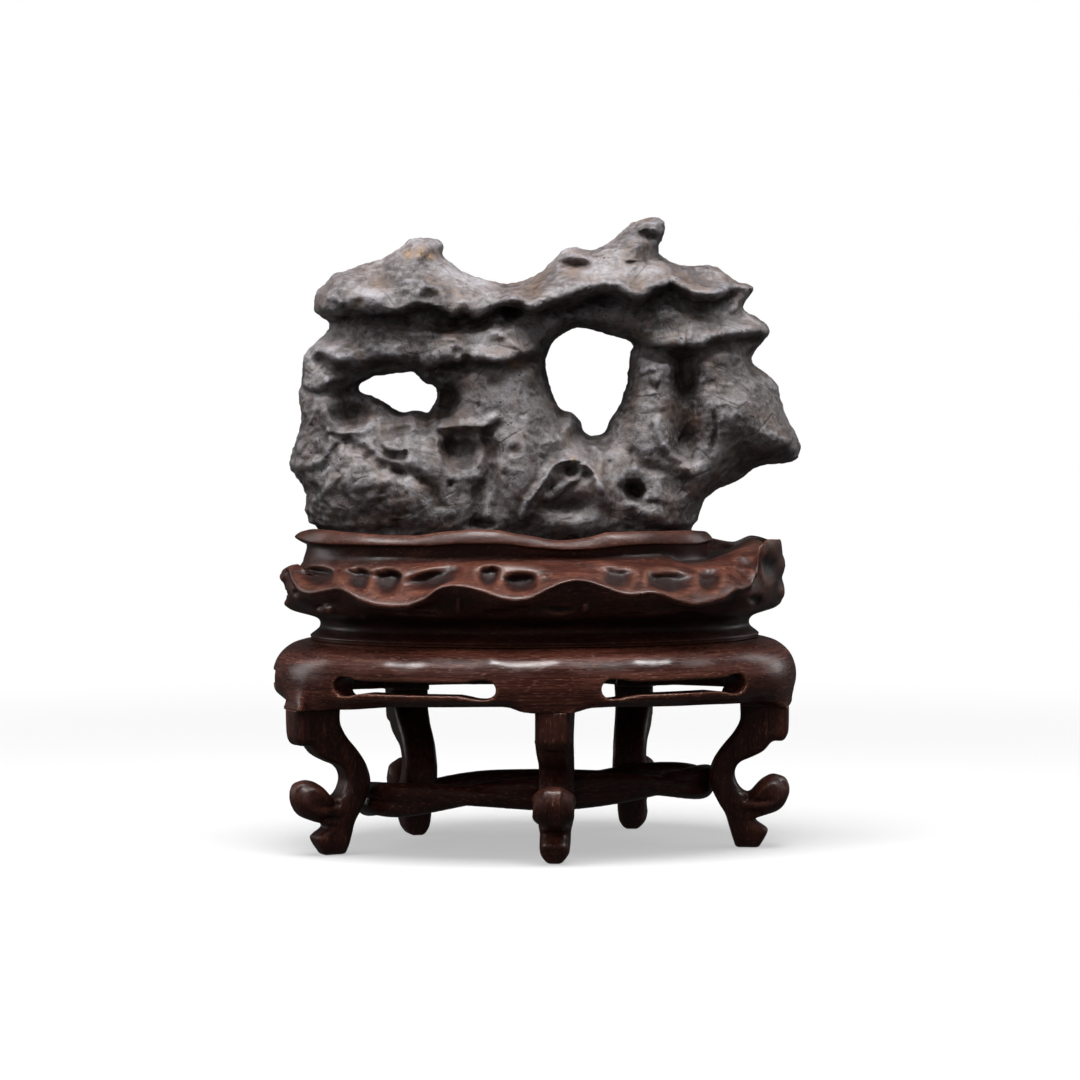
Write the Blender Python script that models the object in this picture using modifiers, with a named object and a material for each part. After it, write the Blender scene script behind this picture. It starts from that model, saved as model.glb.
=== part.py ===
"""A scholar's rock of dark limestone resting on its carved hardwood stand.

The stone is one piece with two windows through it. The stand is a carved seat on a
slotted apron ring, five scroll-footed legs and a twisted stretcher ring inside them.
Sizes are in millimetres here and metres in the finished meshes. X runs along the
stone, the front faces -Y, and Z = 0 is the surface that the feet stand on.
"""
import math

import bmesh
import bpy
import numpy as np
from mathutils import noise

MM = 0.001
GAP = 0.3                      # clearance between touching pieces
MERGE = 0.00001                # metres

# Stand, in plan: every ring of it follows one oval
HALF_LENGTH = 118.4            # outer oval of the shoulder
HALF_DEPTH = 88.0
SHOULDER_TOP = 93.5            # flat top of the apron under the seat
APRON_SLICES = 54
APRON_SEAM = -159.0            # angle where the bent moulding closes, over a leg
SEAT_STEPS = 52
SOCKET_FLOOR = 135.5

# name: (angle round the oval, inset of the foot, direction it faces, lean, height)
LEGS = {
    "leg_front": (-91.2, 20.0, -103.0, 0.0, 66.5),
    "leg_front_left": (-159.5, 18.6, -162.0, 2.0, 64.5),
    "leg_front_right": (-22.5, 19.5, -15.0, 0.0, 63.5),
    "leg_back_right": (57.5, 21.0, 72.0, 0.0, 66.0),
    "leg_back_left": (121.5, 31.5, 99.0, 9.0, 66.0),
}
LEG_THICKNESS = 16.6

# centre angle and half span of each apron slot, in degrees
SLOTS = ((-125.0, 20.0), (-63.8, 18.8), (16.0, 22.0), (89.0, 20.0), (161.0, 22.0))

# Stone
WINDOW_YAW = math.radians(9.0)     # the windows run this far off the depth axis
STONE_FLOOR = SOCKET_FLOOR + GAP
STONE_SLAB = 45.0                  # half thickness of the blank
STONE_SHIFT = 1.0                  # the outline is drawn this far left of its place
FRONT_SPREAD = 1.022               # the front's features are drawn this much apart
STONE_MIDDLE = 137.0               # height that they are spread about
STONE_VOXEL = 2.2
STONE_TRIANGLES = 3600
FRONT_BULGE = (37.0, 0.05, 0.0012, 5.0)     # half depth, loss by height, loss and place along
BACK_BULGE = (36.0, 0.07, 0.0010, -5.0)
BULGE_ROUNDING = 26.0              # how far in from an edge the faces round over
BULGE_POWER = 2.4
EDGE_CALM = 7.0                    # how far in from an edge the relief fades in
EDGE_DEPTH = 3.0
BED_SIZE = (26.0, 22.0, 11.0)      # low lumps lying flat, and smaller ones on them
BED_RISE = 2.2
KNOB_SIZE = (9.0, 9.0, 6.0)
KNOB_RISE = 1.0

# Side outline of the stone, clockwise from the left tip: (along, height)
STONE_OUTLINE = (
    (-99.5, 239.5), (-97.7, 248.3), (-90.5, 256.4), (-78.8, 260.0), (-69.3, 262.7),
    (-59.0, 269.0), (-56.7, 271.8), (-51.8, 272.4), (-44.6, 271.0), (-42.3, 269.4),
    (-44.6, 265.8), (-42.3, 263.1), (-31.5, 256.4), (-22.1, 253.7), (-14.0, 251.4),
    (-6.3, 253.2), (1.8, 257.7), (7.2, 263.1), (11.3, 268.1), (16.2, 269.0),
    (24.0, 267.0), (30.5, 269.6), (36.0, 273.0), (42.6, 279.4), (47.0, 281.4), (53.5, 282.6),
    (57.2, 280.7), (56.7, 274.4), (53.6, 269.4), (54.0, 264.9), (61.7, 261.3),
    (67.5, 260.0), (77.4, 260.9), (81.5, 259.5), (88.7, 253.7), (98.1, 251.4),
    (95.9, 248.3), (91.8, 242.9), (90.9, 239.7), (99.9, 236.6), (105.3, 231.6),
    (103.1, 227.1), (96.3, 220.8), (96.3, 215.8), (101.3, 213.6), (107.6, 208.2),
    (109.8, 200.1), (112.5, 192.4), (117.0, 184.3), (118.8, 179.3), (117.9, 173.9),
    (113.9, 172.1), (101.3, 171.7), (96.3, 169.4), (90.0, 164.5), (80.6, 160.4),
    (74.3, 154.1), (72.0, 147.8), (70.7, 141.5), (68.0, 132.0),
    (-93.0, 132.0), (-96.5, 141.5), (-101.7, 146.5), (-102.6, 151.0),
    (-103.1, 159.1), (-107.1, 166.7), (-109.8, 170.8), (-109.8, 176.6),
    (-107.1, 182.9), (-104.9, 189.3), (-105.3, 196.9), (-105.3, 204.1),
    (-104.0, 206.4), (-104.4, 212.7), (-103.5, 219.0), (-102.5, 222.0),
    (-97.7, 226.2), (-91.4, 231.6), (-92.7, 234.7),
)
WIDE_WINDOW = (
    (9.9, 229.4), (16.7, 233.4), (25.7, 232.1), (35.1, 228.9), (41.4, 227.1),
    (45.0, 224.4), (41.4, 222.1), (41.4, 215.8), (40.5, 206.4), (36.5, 196.9),
    (32.0, 190.6), (31.5, 186.5), (28.8, 184.3), (23.0, 183.8), (19.8, 186.1),
    (18.5, 190.6), (15.3, 194.7), (10.4, 194.7), (6.8, 201.9), (4.1, 209.5),
    (2.7, 215.8), (4.1, 223.9),
)
SMALL_WINDOW = (
    (-84.0, 204.8), (-74.0, 211.6), (-64.4, 212.7), (-54.5, 214.0), (-52.7, 211.3),
    (-50.4, 207.7), (-45.5, 208.2), (-44.6, 201.9), (-47.3, 195.6), (-48.6, 192.4),
    (-51.8, 195.1), (-56.7, 195.6), (-61.2, 194.2), (-67.5, 198.7), (-73.8, 201.9),
)

# Ledges: overhang, reach above the lip, undercut, reach below it, then the lip line
FRONT_LEDGES = (
    (7.0, 16.0, 9.0, 7.0, ((-98, 234), (-84, 237), (-61, 238), (-38, 235), (-21, 237), (-6, 240))),
    (5.0, 9.0, 8.0, 9.0, ((-103, 218), (-86, 214.5), (-66, 216), (-48, 218.5), (-32, 217.5),
                          (-21, 215), (-8, 218), (2, 224))),
    (9.0, 13.0, 11.0, 9.0, ((-10, 237), (-3, 239), (11, 244), (29, 252), (38, 249.5), (51, 241.5),
                            (61, 240.5), (69, 246.5), (76, 245), (95, 250))),
    (5.0, 8.0, 6.0, 7.0, ((44, 225), (58, 223.5), (74, 222.5), (92, 226.5), (104, 230.5))),
)
# Hollows and swellings: along, height, radius along, radius up, relief
FRONT_LUMPS = (
    (-70, 250, 28, 10, 5.0), (93, 196, 16, 18, 8.0), (-75, 163, 26, 19, 7.0),
    (-9, 168, 13, 22, 5.0), (54, 154, 13, 13, 4.0), (16, 144, 15, 8, 8.0),
    (-86, 195, 9, 8, -8.0), (-35, 182, 9, 9, -10.0), (-39, 200, 5, 9, -12.0),
    (42, 160.5, 6, 6, -12.0), (17.5, 156, 10, 8, -8.0), (17.5, 261, 8, 3.5, -5.0),
    (51, 272, 6, 6, -4.0), (-56, 194, 6, 4, 4.0), (-64, 180, 5, 5, 3.0),
    (15, 190, 5, 8, 4.0), (-42, 214, 5, 4, 4.0), (84, 193, 4, 4, -4.0),
)
# Ridges and grooves: half width, relief, then the line
FRONT_LINES = (
    (9.0, -16.0, ((65, 218), (66, 205), (66.5, 190), (69, 177), (72, 168))),
    (4.0, 4.0, ((57, 201), (56.7, 187), (62.5, 177), (71, 165))),
    (4.0, 6.0, ((-5, 142), (4, 160), (11, 171), (17.6, 174.5), (24, 172), (30, 162), (32, 150))),
    (4.5, 4.5, ((-72, 183), (-61, 189), (-56, 194), (-47, 182))),
    (6.0, -7.0, ((-24, 186), (-22, 165), (-24, 142))),
    (4.0, -5.0, ((-88, 183), (-66, 172), (-48, 164), (-40, 150))),
    (3.5, -4.0, ((40, 178), (47, 170), (60, 166), (74, 158))),
)
BACK_LEDGES = (
    (7.0, 14.0, 8.0, 8.0, ((-96, 236), (-70, 232), (-45, 238), (-20, 235), (0, 242))),
    (6.0, 12.0, 9.0, 9.0, ((5, 240), (25, 249), (48, 243), (70, 239), (94, 246))),
    (6.0, 10.0, 7.0, 9.0, ((-106, 190), (-84, 186), (-60, 182), (-36, 188), (-14, 180))),
    (5.0, 10.0, 7.0, 8.0, ((40, 196), (60, 188), (84, 184), (112, 188))),
)
BACK_LUMPS = (
    (-60, 160, 30, 16, 8.0), (20, 158, 18, 16, 7.0), (92, 206, 16, 14, 6.0),
    (-22, 205, 8, 14, -10.0), (-86, 206, 10, 8, -7.0), (64, 164, 9, 8, -11.0),
    (-20, 158, 7, 9, -10.0), (66, 214, 8, 10, -8.0), (-66, 250, 24, 9, 5.0),
    (38, 266, 12, 8, 4.0), (-84, 150, 7, 6, -6.0),
)
BACK_LINES = (
    (6.0, -8.0, ((0, 190), (-2, 170), (4, 150), (2, 138))),
    (5.0, -7.0, ((-44, 176), (-40, 158), (-46, 142))),
    (5.0, 5.0, ((24, 182), (40, 176), (50, 160), (52, 146))),
    (5.0, -6.0, ((80, 178), (72, 168), (60, 146))),
)


def clear_scene():
    """Remove everything that the scene holds."""
    for item in list(bpy.data.objects):
        bpy.data.objects.remove(item, do_unlink=True)


def new_collection(name):
    group = bpy.data.collections.new(name)
    bpy.context.scene.collection.children.link(group)
    return group


def new_material(name, colour, roughness, metallic=0.0):
    """A Principled material in a plain colour."""
    material = bpy.data.materials.new(name)
    material.use_nodes = True
    shader = material.node_tree.nodes["Principled BSDF"]
    shader.inputs["Base Color"].default_value = (*colour, 1.0)
    shader.inputs["Roughness"].default_value = roughness
    shader.inputs["Metallic"].default_value = metallic
    material.diffuse_color = (*colour, 1.0)
    return material


def wood_material(name, shade):
    """Dark reddish hardwood, waxed; each piece has its own shade."""
    red, green, blue = 0.062, 0.017, 0.012
    return new_material(name, (red * shade, green * shade, blue * shade), 0.34)


def stone_material():
    """Dark grey limestone with a soft wax polish."""
    return new_material("waxed_limestone", (0.125, 0.117, 0.122), 0.48)


def add_object(name, mesh, group):
    item = bpy.data.objects.new(name, mesh)
    group.objects.link(item)
    return item


def evaluated_mesh(item):
    """The mesh of an object with its modifiers or its curve bevel applied."""
    bpy.context.view_layer.update()
    graph = bpy.context.evaluated_depsgraph_get()
    return bpy.data.meshes.new_from_object(item.evaluated_get(graph))


def bake(item):
    """Replace an object by a mesh object of its evaluated shape, with doubles welded."""
    mesh = evaluated_mesh(item)
    name = item.name
    groups = list(item.users_collection)
    bpy.data.objects.remove(item, do_unlink=True)
    bm = bmesh.new()
    bm.from_mesh(mesh)
    bmesh.ops.remove_doubles(bm, verts=bm.verts, dist=MERGE)
    bm.to_mesh(mesh)
    bm.free()
    return add_object(name, mesh, groups[0])


def read_points(mesh):
    """Vertex positions in millimetres, one row each."""
    points = np.empty(len(mesh.vertices) * 3)
    mesh.vertices.foreach_get("co", points)
    return points.reshape(-1, 3) / MM


def write_points(mesh, points):
    mesh.vertices.foreach_set("co", (points * MM).ravel())
    mesh.update()


def finish(item, material, sharp_degrees=40.0):
    """Give a piece its only material and smooth shading."""
    item.data.materials.clear()
    item.data.materials.append(material)
    item.data.shade_smooth()
    item.data.set_sharp_from_angle(angle=math.radians(sharp_degrees))


def cut(item, cutter, operation="DIFFERENCE"):
    """Apply a Boolean of a cutter to an object and remove the cutter."""
    modifier = item.modifiers.new("cut", "BOOLEAN")
    modifier.operation = operation
    modifier.object = cutter
    mesh = evaluated_mesh(item)
    item.modifiers.clear()
    item.data = mesh
    bpy.data.objects.remove(cutter, do_unlink=True)


def flat_curve(name, outlines, half_thickness, group, bevel=0.0, grow=0.0):
    """A filled 2D curve of closed outlines in millimetres, thickened both ways."""
    curve = bpy.data.curves.new(name, "CURVE")
    curve.dimensions = "2D"
    curve.fill_mode = "BOTH"
    curve.extrude = (half_thickness - bevel) * MM
    curve.bevel_depth = bevel * MM
    curve.bevel_resolution = 0
    curve.offset = (grow - bevel) * MM
    for outline in outlines:
        spline = curve.splines.new("POLY")
        spline.points.add(len(outline) - 1)
        for point, (across, up) in zip(spline.points, outline):
            point.co = (across * MM, up * MM, 0.0, 1.0)
        spline.use_cyclic_u = True
    return add_object(name, curve, group)


def oval(angles, inset):
    """Points of the shoulder oval at angles in radians, moved inwards by inset."""
    across = np.cos(angles) / HALF_LENGTH
    along = np.sin(angles) / HALF_DEPTH
    size = np.hypot(across, along)
    x = HALF_LENGTH * np.cos(angles) - inset * across / size
    y = HALF_DEPTH * np.sin(angles) - inset * along / size
    return x, y


def round_trip(knots, angles):
    """Smooth values round the oval from knots of (degrees, value)."""
    places = np.array([knot[0] for knot in knots], dtype=float)
    values = np.array([knot[1] for knot in knots], dtype=float)
    places = np.concatenate((places[-1:] - 360.0, places, places[:1] + 360.0))
    values = np.concatenate((values[-1:], values, values[:1]))
    turn = (np.degrees(angles) + 180.0) % 360.0 - 180.0
    index = np.clip(np.searchsorted(places, turn) - 1, 0, len(places) - 2)
    share = (turn - places[index]) / (places[index + 1] - places[index])
    ease = share * share * (3.0 - 2.0 * share)
    return values[index] + (values[index + 1] - values[index]) * ease


def turn_offset(angles, centre):
    """Signed distance in degrees from an angle round the oval."""
    return (np.degrees(angles) - centre + 180.0) % 360.0 - 180.0


# ------------------------------------------------------------------ apron
# Section of the shoulder: (inset from the oval, height)
APRON_SECTION = (
    (5.5, 65.0), (1.6, 69.5), (0.0, 75.0), (0.4, 81.0), (3.2, 87.0), (8.5, 91.5),
    (15.0, SHOULDER_TOP), (33.0, SHOULDER_TOP), (31.0, 88.0), (19.0, 84.5),
    (14.0, 78.0), (12.5, 65.0),
)
SLOT_HEIGHT = 75.4
SLOT_HALF = 3.7
BULB_RADIUS = 4.9
FILLET_RISE = 3.4              # from the top of a leg up to the plain lower edge


def apron_edge_knots():
    """Height of the apron's lower edge: it dips to meet the top of each leg."""
    knots = []
    for angle, _inset, _facing, _lean, height in LEGS.values():
        knots.append((angle - 11.0, height + FILLET_RISE))
        knots.append((angle - 6.0, height + GAP))
        knots.append((angle + 6.0, height + GAP))
        knots.append((angle + 11.0, height + FILLET_RISE))
    return sorted(knots)


def slot_outline(half_span, height, half_width, bulb):
    """A long slot with a round bulb at each end, in degrees along and mm up."""
    scale = 360.0 / (2.0 * math.pi * 0.5 * (HALF_LENGTH + HALF_DEPTH))
    reach = bulb * scale
    neck = math.asin(half_width / bulb)
    outline = []
    for side in (1.0, -1.0):
        for step in range(7):
            turn = (math.pi - neck) * (step / 3.0 - 1.0)
            across = side * (half_span - reach + reach * math.cos(turn))
            outline.append((across, height + side * bulb * math.sin(turn)))
    return outline


def make_apron(group, material):
    """The shoulder ring: a straight moulding, slotted, then bent round the oval."""
    bm = bmesh.new()
    section = [bm.verts.new((APRON_SEAM * MM, inset * MM, height * MM))
               for inset, height in APRON_SECTION]
    face = bm.faces.new(section)
    for _slice in range(APRON_SLICES):
        moved = bmesh.ops.extrude_face_region(bm, geom=[face])
        tops = [part for part in moved["geom"] if isinstance(part, bmesh.types.BMVert)]
        bmesh.ops.translate(bm, verts=tops, vec=(360.0 / APRON_SLICES * MM, 0.0, 0.0))
        bm.faces.remove(face)
        face = [part for part in moved["geom"] if isinstance(part, bmesh.types.BMFace)][0]
    bmesh.ops.contextual_create(bm, geom=[edge for edge in bm.edges if edge.is_boundary])
    bmesh.ops.recalc_face_normals(bm, faces=bm.faces)
    mesh = bpy.data.meshes.new("apron")
    bm.to_mesh(mesh)
    bm.free()
    apron = add_object("apron", mesh, group)
    for centre, half_span in SLOTS:
        outline = slot_outline(half_span, SLOT_HEIGHT, SLOT_HALF, BULB_RADIUS)
        cutter = flat_curve("slot", [outline], 30.0, group)
        cutter.rotation_euler = (math.pi / 2.0, 0.0, 0.0)
        cutter.location = (centre * MM, 0.0, 0.0)
        bpy.context.view_layer.update()
        place = cutter.matrix_world.copy()
        cutter = bake(cutter)
        cutter.data.transform(place)
        cut(apron, cutter)
    bend_apron(apron.data)
    finish(apron, material)
    return apron


def bend_apron(mesh):
    """Open the ends of the straight moulding, wrap it round the oval and weld its seam."""
    bm = bmesh.new()
    bm.from_mesh(mesh)
    middle = (APRON_SEAM + 180.0) * MM
    ends = [face for face in bm.faces
            if min(abs(vert.co.x - middle) for vert in face.verts) > 179.99 * MM]
    bmesh.ops.delete(bm, geom=ends, context="FACES_ONLY")
    bm.to_mesh(mesh)
    points = read_points(mesh)
    angles = np.radians(points[:, 0])
    inset = points[:, 1].copy()
    height = points[:, 2].copy()
    lower = np.clip((71.5 - height) / 5.0, 0.0, 1.0)
    height += lower * (round_trip(apron_edge_knots(), angles) - 65.0)
    points[:, 0], points[:, 1] = oval(angles, inset)
    points[:, 2] = height
    write_points(mesh, points)
    bm.clear()
    bm.from_mesh(mesh)
    bmesh.ops.remove_doubles(bm, verts=bm.verts, dist=MERGE)
    bmesh.ops.triangulate(bm, faces=bm.faces)
    bmesh.ops.recalc_face_normals(bm, faces=bm.faces)
    bm.to_mesh(mesh)
    bm.free()


# ------------------------------------------------------------------- seat
# Rings of the carved seat: half length, half depth, centre along X, height
SEAT_RINGS = (
    (101.0, 71.0, 0.0, SHOULDER_TOP + GAP),
    (101.6, 71.6, 0.0, 95.4),
    (97.3, 67.3, 0.0, 99.4),
    (99.0, 69.0, 0.0, 103.5),
    (109.0, 77.5, -0.8, 107.6),
    (112.4, 82.0, -0.8, 113.0),
    (112.6, 84.5, -1.4, 118.5),
    (112.2, 84.5, -1.4, 121.5),
    (108.0, 77.0, -1.0, 125.0),
    (103.0, 70.0, -4.0, 129.0),
    (91.5, 59.5, -12.0, 131.5),
    (91.0, 59.0, -12.0, 135.5),
    (93.8, 61.5, -14.0, 138.6),
    (91.5, 58.5, -14.0, 140.3),
    (88.0, 51.5, -14.0, 139.5),
    (86.0, 47.5, -14.0, SOCKET_FLOOR),
)
UNDER, BELLY, LOW_EDGE, EDGE, FACE, ROOT, NECK = 4, 5, 6, 7, 8, 9, 10
RIM, RIM_TOP, RIM_INNER = 12, 13, 14

# height of the skirt's wavy edge round the seat, with the upturned lobe at the right end
SKIRT_EDGE = (
    (-170, 121.0), (-159, 115.5), (-148, 118.5), (-130, 112.8), (-115, 120.7),
    (-100, 114.8), (-87, 122.3), (-74, 117.4), (-60, 113.4), (-48, 118.0),
    (-39, 130.0), (-31, 136.6), (-12, 136.8), (6, 135.4), (18, 138.2), (27, 134.5),
    (40, 135.5), (52, 126.0), (62, 116.0), (74, 121.5), (87, 114.5), (100, 121.0), (115, 113.8),
    (130, 121.0), (145, 115.0), (160, 119.5), (172, 123.5),
)
# angle, half span and depth of the carved dimples on the skirt's upper face
DIMPLES = (
    (-158, 7, 2.6), (-136, 8, 2.8), (-118, 7, 2.6), (-104, 5, 2.2), (-96, 6, 2.6),
    (-78, 6, 2.6), (-66, 7, 2.8), (-54, 5, 2.4), (62, 6, 2.4), (76, 7, 2.6),
    (92, 6, 2.4), (108, 7, 2.6), (123, 6, 2.4), (138, 7, 2.6), (153, 6, 2.4), (168, 6, 2.4),
)


def seat_cage():
    """A tall drum whose height counts the rings, turned with a Screw modifier."""
    rings = len(SEAT_RINGS)
    profile = [(0.0, rings - 1.0)]
    profile += [(1.0, float(ring)) for ring in range(rings - 1, -1, -1)]
    profile += [(0.0, 0.0)]
    mesh = bpy.data.meshes.new("seat")
    edges = [(index, index + 1) for index in range(len(profile) - 1)]
    mesh.from_pydata([(radius, 0.0, height) for radius, height in profile], edges, [])
    return mesh


def make_seat(group, material):
    """The carved block: flange, waist, ruffled skirt, neck, rim and socket."""
    seat = add_object("seat", seat_cage(), group)
    screw = seat.modifiers.new("turn", "SCREW")
    screw.steps = SEAT_STEPS
    screw.render_steps = SEAT_STEPS
    screw.use_merge_vertices = True
    screw.merge_threshold = MERGE
    seat = bake(seat)
    cage = read_points(seat.data) * MM
    ring = np.rint(cage[:, 2]).astype(int)
    angles = np.arctan2(cage[:, 1], cage[:, 0])
    on_axis = np.hypot(cage[:, 0], cage[:, 1]) < 0.5
    points = carve_seat(ring, angles)
    centre = np.array([SEAT_RINGS[index][2] for index in ring])
    points[on_axis, 0] = centre[on_axis]
    points[on_axis, 1] = 0.0
    write_points(seat.data, points)
    bm = bmesh.new()
    bm.from_mesh(seat.data)
    bmesh.ops.recalc_face_normals(bm, faces=bm.faces)
    bmesh.ops.triangulate(bm, faces=bm.faces)
    bm.to_mesh(seat.data)
    bm.free()
    finish(seat, material)
    return seat


def carve_seat(ring, angles):
    """Places of the seat's vertices from their ring and their angle."""
    table = np.array(SEAT_RINGS)
    length, depth, centre, height = table[ring].T.copy()
    edge = round_trip(SKIRT_EDGE, angles)
    lobe = np.clip((edge - 123.0) / 15.0, 0.0, 1.0)
    wave = edge - 118.0
    flare = np.zeros(len(ring))
    height = np.where(ring == EDGE, edge + 0.8, height)
    height = np.where(ring == LOW_EDGE, edge - 2.2, height)
    height = np.where(ring == BELLY, 112.5 + 0.35 * wave, height)
    height = np.where(ring == FACE, 0.5 * (edge + 129.0) + 0.5 - 5.0 * lobe, height)
    flare += np.where((ring == EDGE) | (ring == LOW_EDGE), 1.6 - 0.22 * wave * (1.0 - lobe), 0.0)
    flare -= np.where(ring == EDGE, 2.5 * lobe, 0.0)
    flare += np.where(ring == UNDER, 1.6 * np.sin(np.radians(turn_offset(angles, 8.0) * 13.0)), 0.0)
    flare += np.where(ring == BELLY, 1.2 * np.sin(np.radians(turn_offset(angles, 20.0) * 11.0)), 0.0)
    for place, half_span, sink in DIMPLES:
        near = np.clip(1.0 - (turn_offset(angles, place) / half_span) ** 2, 0.0, 1.0)
        height -= np.where(ring == FACE, sink * near, 0.0)
        flare -= np.where(ring == FACE, 0.8 * sink * near, 0.0)
    rim_wave = np.sin(np.radians(turn_offset(angles, 70.0) * 3.0))
    rim_wave += 0.6 * np.sin(np.radians(turn_offset(angles, 15.0) * 7.0))
    on_rim = (ring >= RIM - 1) & (ring <= RIM_INNER)
    height += np.where(on_rim, 0.7 * rim_wave, 0.0)
    flare += np.where((ring == RIM) | (ring == RIM_TOP), 0.8 * rim_wave, 0.0)
    x = centre + (length + flare) * np.cos(angles)
    y = (depth + flare) * np.sin(angles)
    return np.column_stack((x, y, height))


# ------------------------------------------------------------------- legs
# Side profile of a leg: (outwards from the foot's centre, height)
LEG_OUTLINE = (
    (-3.2, 64.2), (-3.0, 59.2), (-4.2, 55.5), (-6.8, 51.4), (-10.2, 47.3),
    (-13.2, 43.4), (-15.6, 39.1), (-17.1, 33.0), (-16.0, 27.6),
    (-14.6, 24.0), (-12.2, 19.4), (-9.8, 15.3), (-7.9, 9.2),
    (-6.0, 3.0), (-4.2, 0.0), (4.2, 0.0), (6.2, 1.6), (9.2, 7.2),
    (7.4, 9.6), (4.9, 11.2), (3.6, 13.2), (9.1, 15.0), (14.8, 17.6),
    (17.9, 21.8), (18.9, 26.6), (17.4, 30.8),
    (14.8, 32.6), (10.6, 33.2), (6.2, 30.8), (3.4, 28.0),
    (0.8, 25.4), (-2.2, 25.9), (-4.6, 28.9), (-5.8, 33.0), (-4.8, 36.8),
    (-2.4, 39.3), (1.8, 41.1), (7.6, 44.2), (11.4, 48.4),
    (15.8, 48.7), (17.8, 51.0), (18.4, 54.6), (18.4, 64.2),
)
LEG_BEVEL = 1.6


def leg_width(outward, height):
    """Thickness of the leg as a share of its blank: slim ankle, round scroll, narrow foot."""
    levels = (0.0, 4.0, 9.0, 13.0, 18.0, 26.0, 34.0, 44.0, 56.0, 64.5)
    shares = (0.48, 0.74, 0.80, 0.80, 0.95, 0.98, 0.92, 0.94, 1.00, 1.06)
    share = np.interp(height, levels, shares)
    scroll = np.hypot(outward - 10.0, height - 24.5)
    share = np.where(scroll < 9.6, 1.16 - 0.30 * (scroll / 9.6) ** 2, share)
    return np.where((outward > 13.5) & (height > 47.0), 0.92, share)


def make_leg(name, group, material, grow=0.0):
    """One cabriole leg: its side profile, rounded, narrowed and set under the apron."""
    angle, inset, facing, lean, top = LEGS[name]
    stretch = (top + grow) / LEG_OUTLINE[0][1]
    outline = [(outward, height * stretch) for outward, height in LEG_OUTLINE]
    leg = flat_curve(name, [outline], LEG_THICKNESS / 2.0 + grow, group, LEG_BEVEL, grow)
    leg = bake(leg)
    points = read_points(leg.data)
    outward, height, across = points.T.copy()
    height = np.clip(height, 0.0, top + grow)
    across *= leg_width(outward, height / stretch)
    outward += lean * height / top
    x, y = oval(np.full(len(points), math.radians(angle)), inset)
    ahead = (math.cos(math.radians(facing)), math.sin(math.radians(facing)))
    points[:, 0] = x + outward * ahead[0] - across * ahead[1]
    points[:, 1] = y + outward * ahead[1] + across * ahead[0]
    points[:, 2] = height
    write_points(leg.data, points)
    bm = bmesh.new()
    bm.from_mesh(leg.data)
    bmesh.ops.dissolve_degenerate(bm, edges=bm.edges, dist=0.00005)
    bmesh.ops.triangulate(bm, faces=bm.faces)
    bmesh.ops.recalc_face_normals(bm, faces=bm.faces)
    bm.to_mesh(leg.data)
    bm.free()
    finish(leg, material, 50.0)
    return leg


# -------------------------------------------------------------- stretcher
STRAND_POINTS = 34
STRAND_INSET = 40.5
STRAND_RADIUS = 4.5
STRAND_SWING = 3.4
# the ring isn't level: angle and height of its middle
STRAND_HEIGHTS = (
    (-150, 23.5), (-100, 28.0), (-60, 29.5), (-10, 28.5),
    (45, 26.0), (95, 21.5), (140, 19.5), (175, 21.0),
)


def make_strand(name, swing, group):
    """One closed strand, rising and falling as it goes round."""
    curve = bpy.data.curves.new(name, "CURVE")
    curve.dimensions = "3D"
    curve.bevel_depth = STRAND_RADIUS * MM
    curve.bevel_resolution = 1
    spline = curve.splines.new("POLY")
    spline.points.add(STRAND_POINTS - 1)
    for index, point in enumerate(spline.points):
        angle = 2.0 * math.pi * index / STRAND_POINTS
        lift = swing * math.sin(3.0 * (angle - math.radians(5.0)))
        lift += float(round_trip(STRAND_HEIGHTS, np.array([angle]))[0])
        weave = 0.9 * swing / STRAND_SWING * math.cos(3.0 * angle)
        x, y = oval(np.array([angle]), STRAND_INSET + weave)
        point.co = (x[0] * MM, y[0] * MM, lift * MM, 1.0)
    spline.use_cyclic_u = True
    return bake(add_object(name, curve, group))


def make_stretcher(group, material):
    """Two strands twisted together, let into the inner faces of the legs."""
    stretcher = make_strand("stretcher", STRAND_SWING, group)
    cut(stretcher, make_strand("second_strand", -STRAND_SWING, group), "UNION")
    for name in LEGS:
        cut(stretcher, make_leg(name, group, material, GAP))
    finish(stretcher, material, 60.0)
    return stretcher


# ------------------------------------------------------------------ stone
def line_distance(points, line):
    """Distance from points to a run of straight stretches, and the side they are on."""
    best = np.full(len(points), 1e9)
    side = np.zeros(len(points))
    for start, end in zip(line[:-1], line[1:]):
        start = np.array(start, dtype=float)
        step = np.array(end, dtype=float) - start
        share = np.clip(((points - start) @ step) / (step @ step), 0.0, 1.0)
        away = points - start - share[:, None] * step
        distance = np.hypot(away[:, 0], away[:, 1])
        nearer = distance < best
        best = np.where(nearer, distance, best)
        side = np.where(nearer, np.sign(step[0] * away[:, 1] - step[1] * away[:, 0]), side)
    return best, side


def end_fade(points, line, reach):
    """Falls off past the two ends of a line of growing X."""
    left = np.clip((points[:, 0] - line[0][0]) / reach + 1.0, 0.0, 1.0)
    right = np.clip((line[-1][0] - points[:, 0]) / reach + 1.0, 0.0, 1.0)
    return left * right


def soft_step(value):
    """0 to 1 with level ends."""
    value = np.clip(value, 0.0, 1.0)
    return value * value * (3.0 - 2.0 * value)


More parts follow.
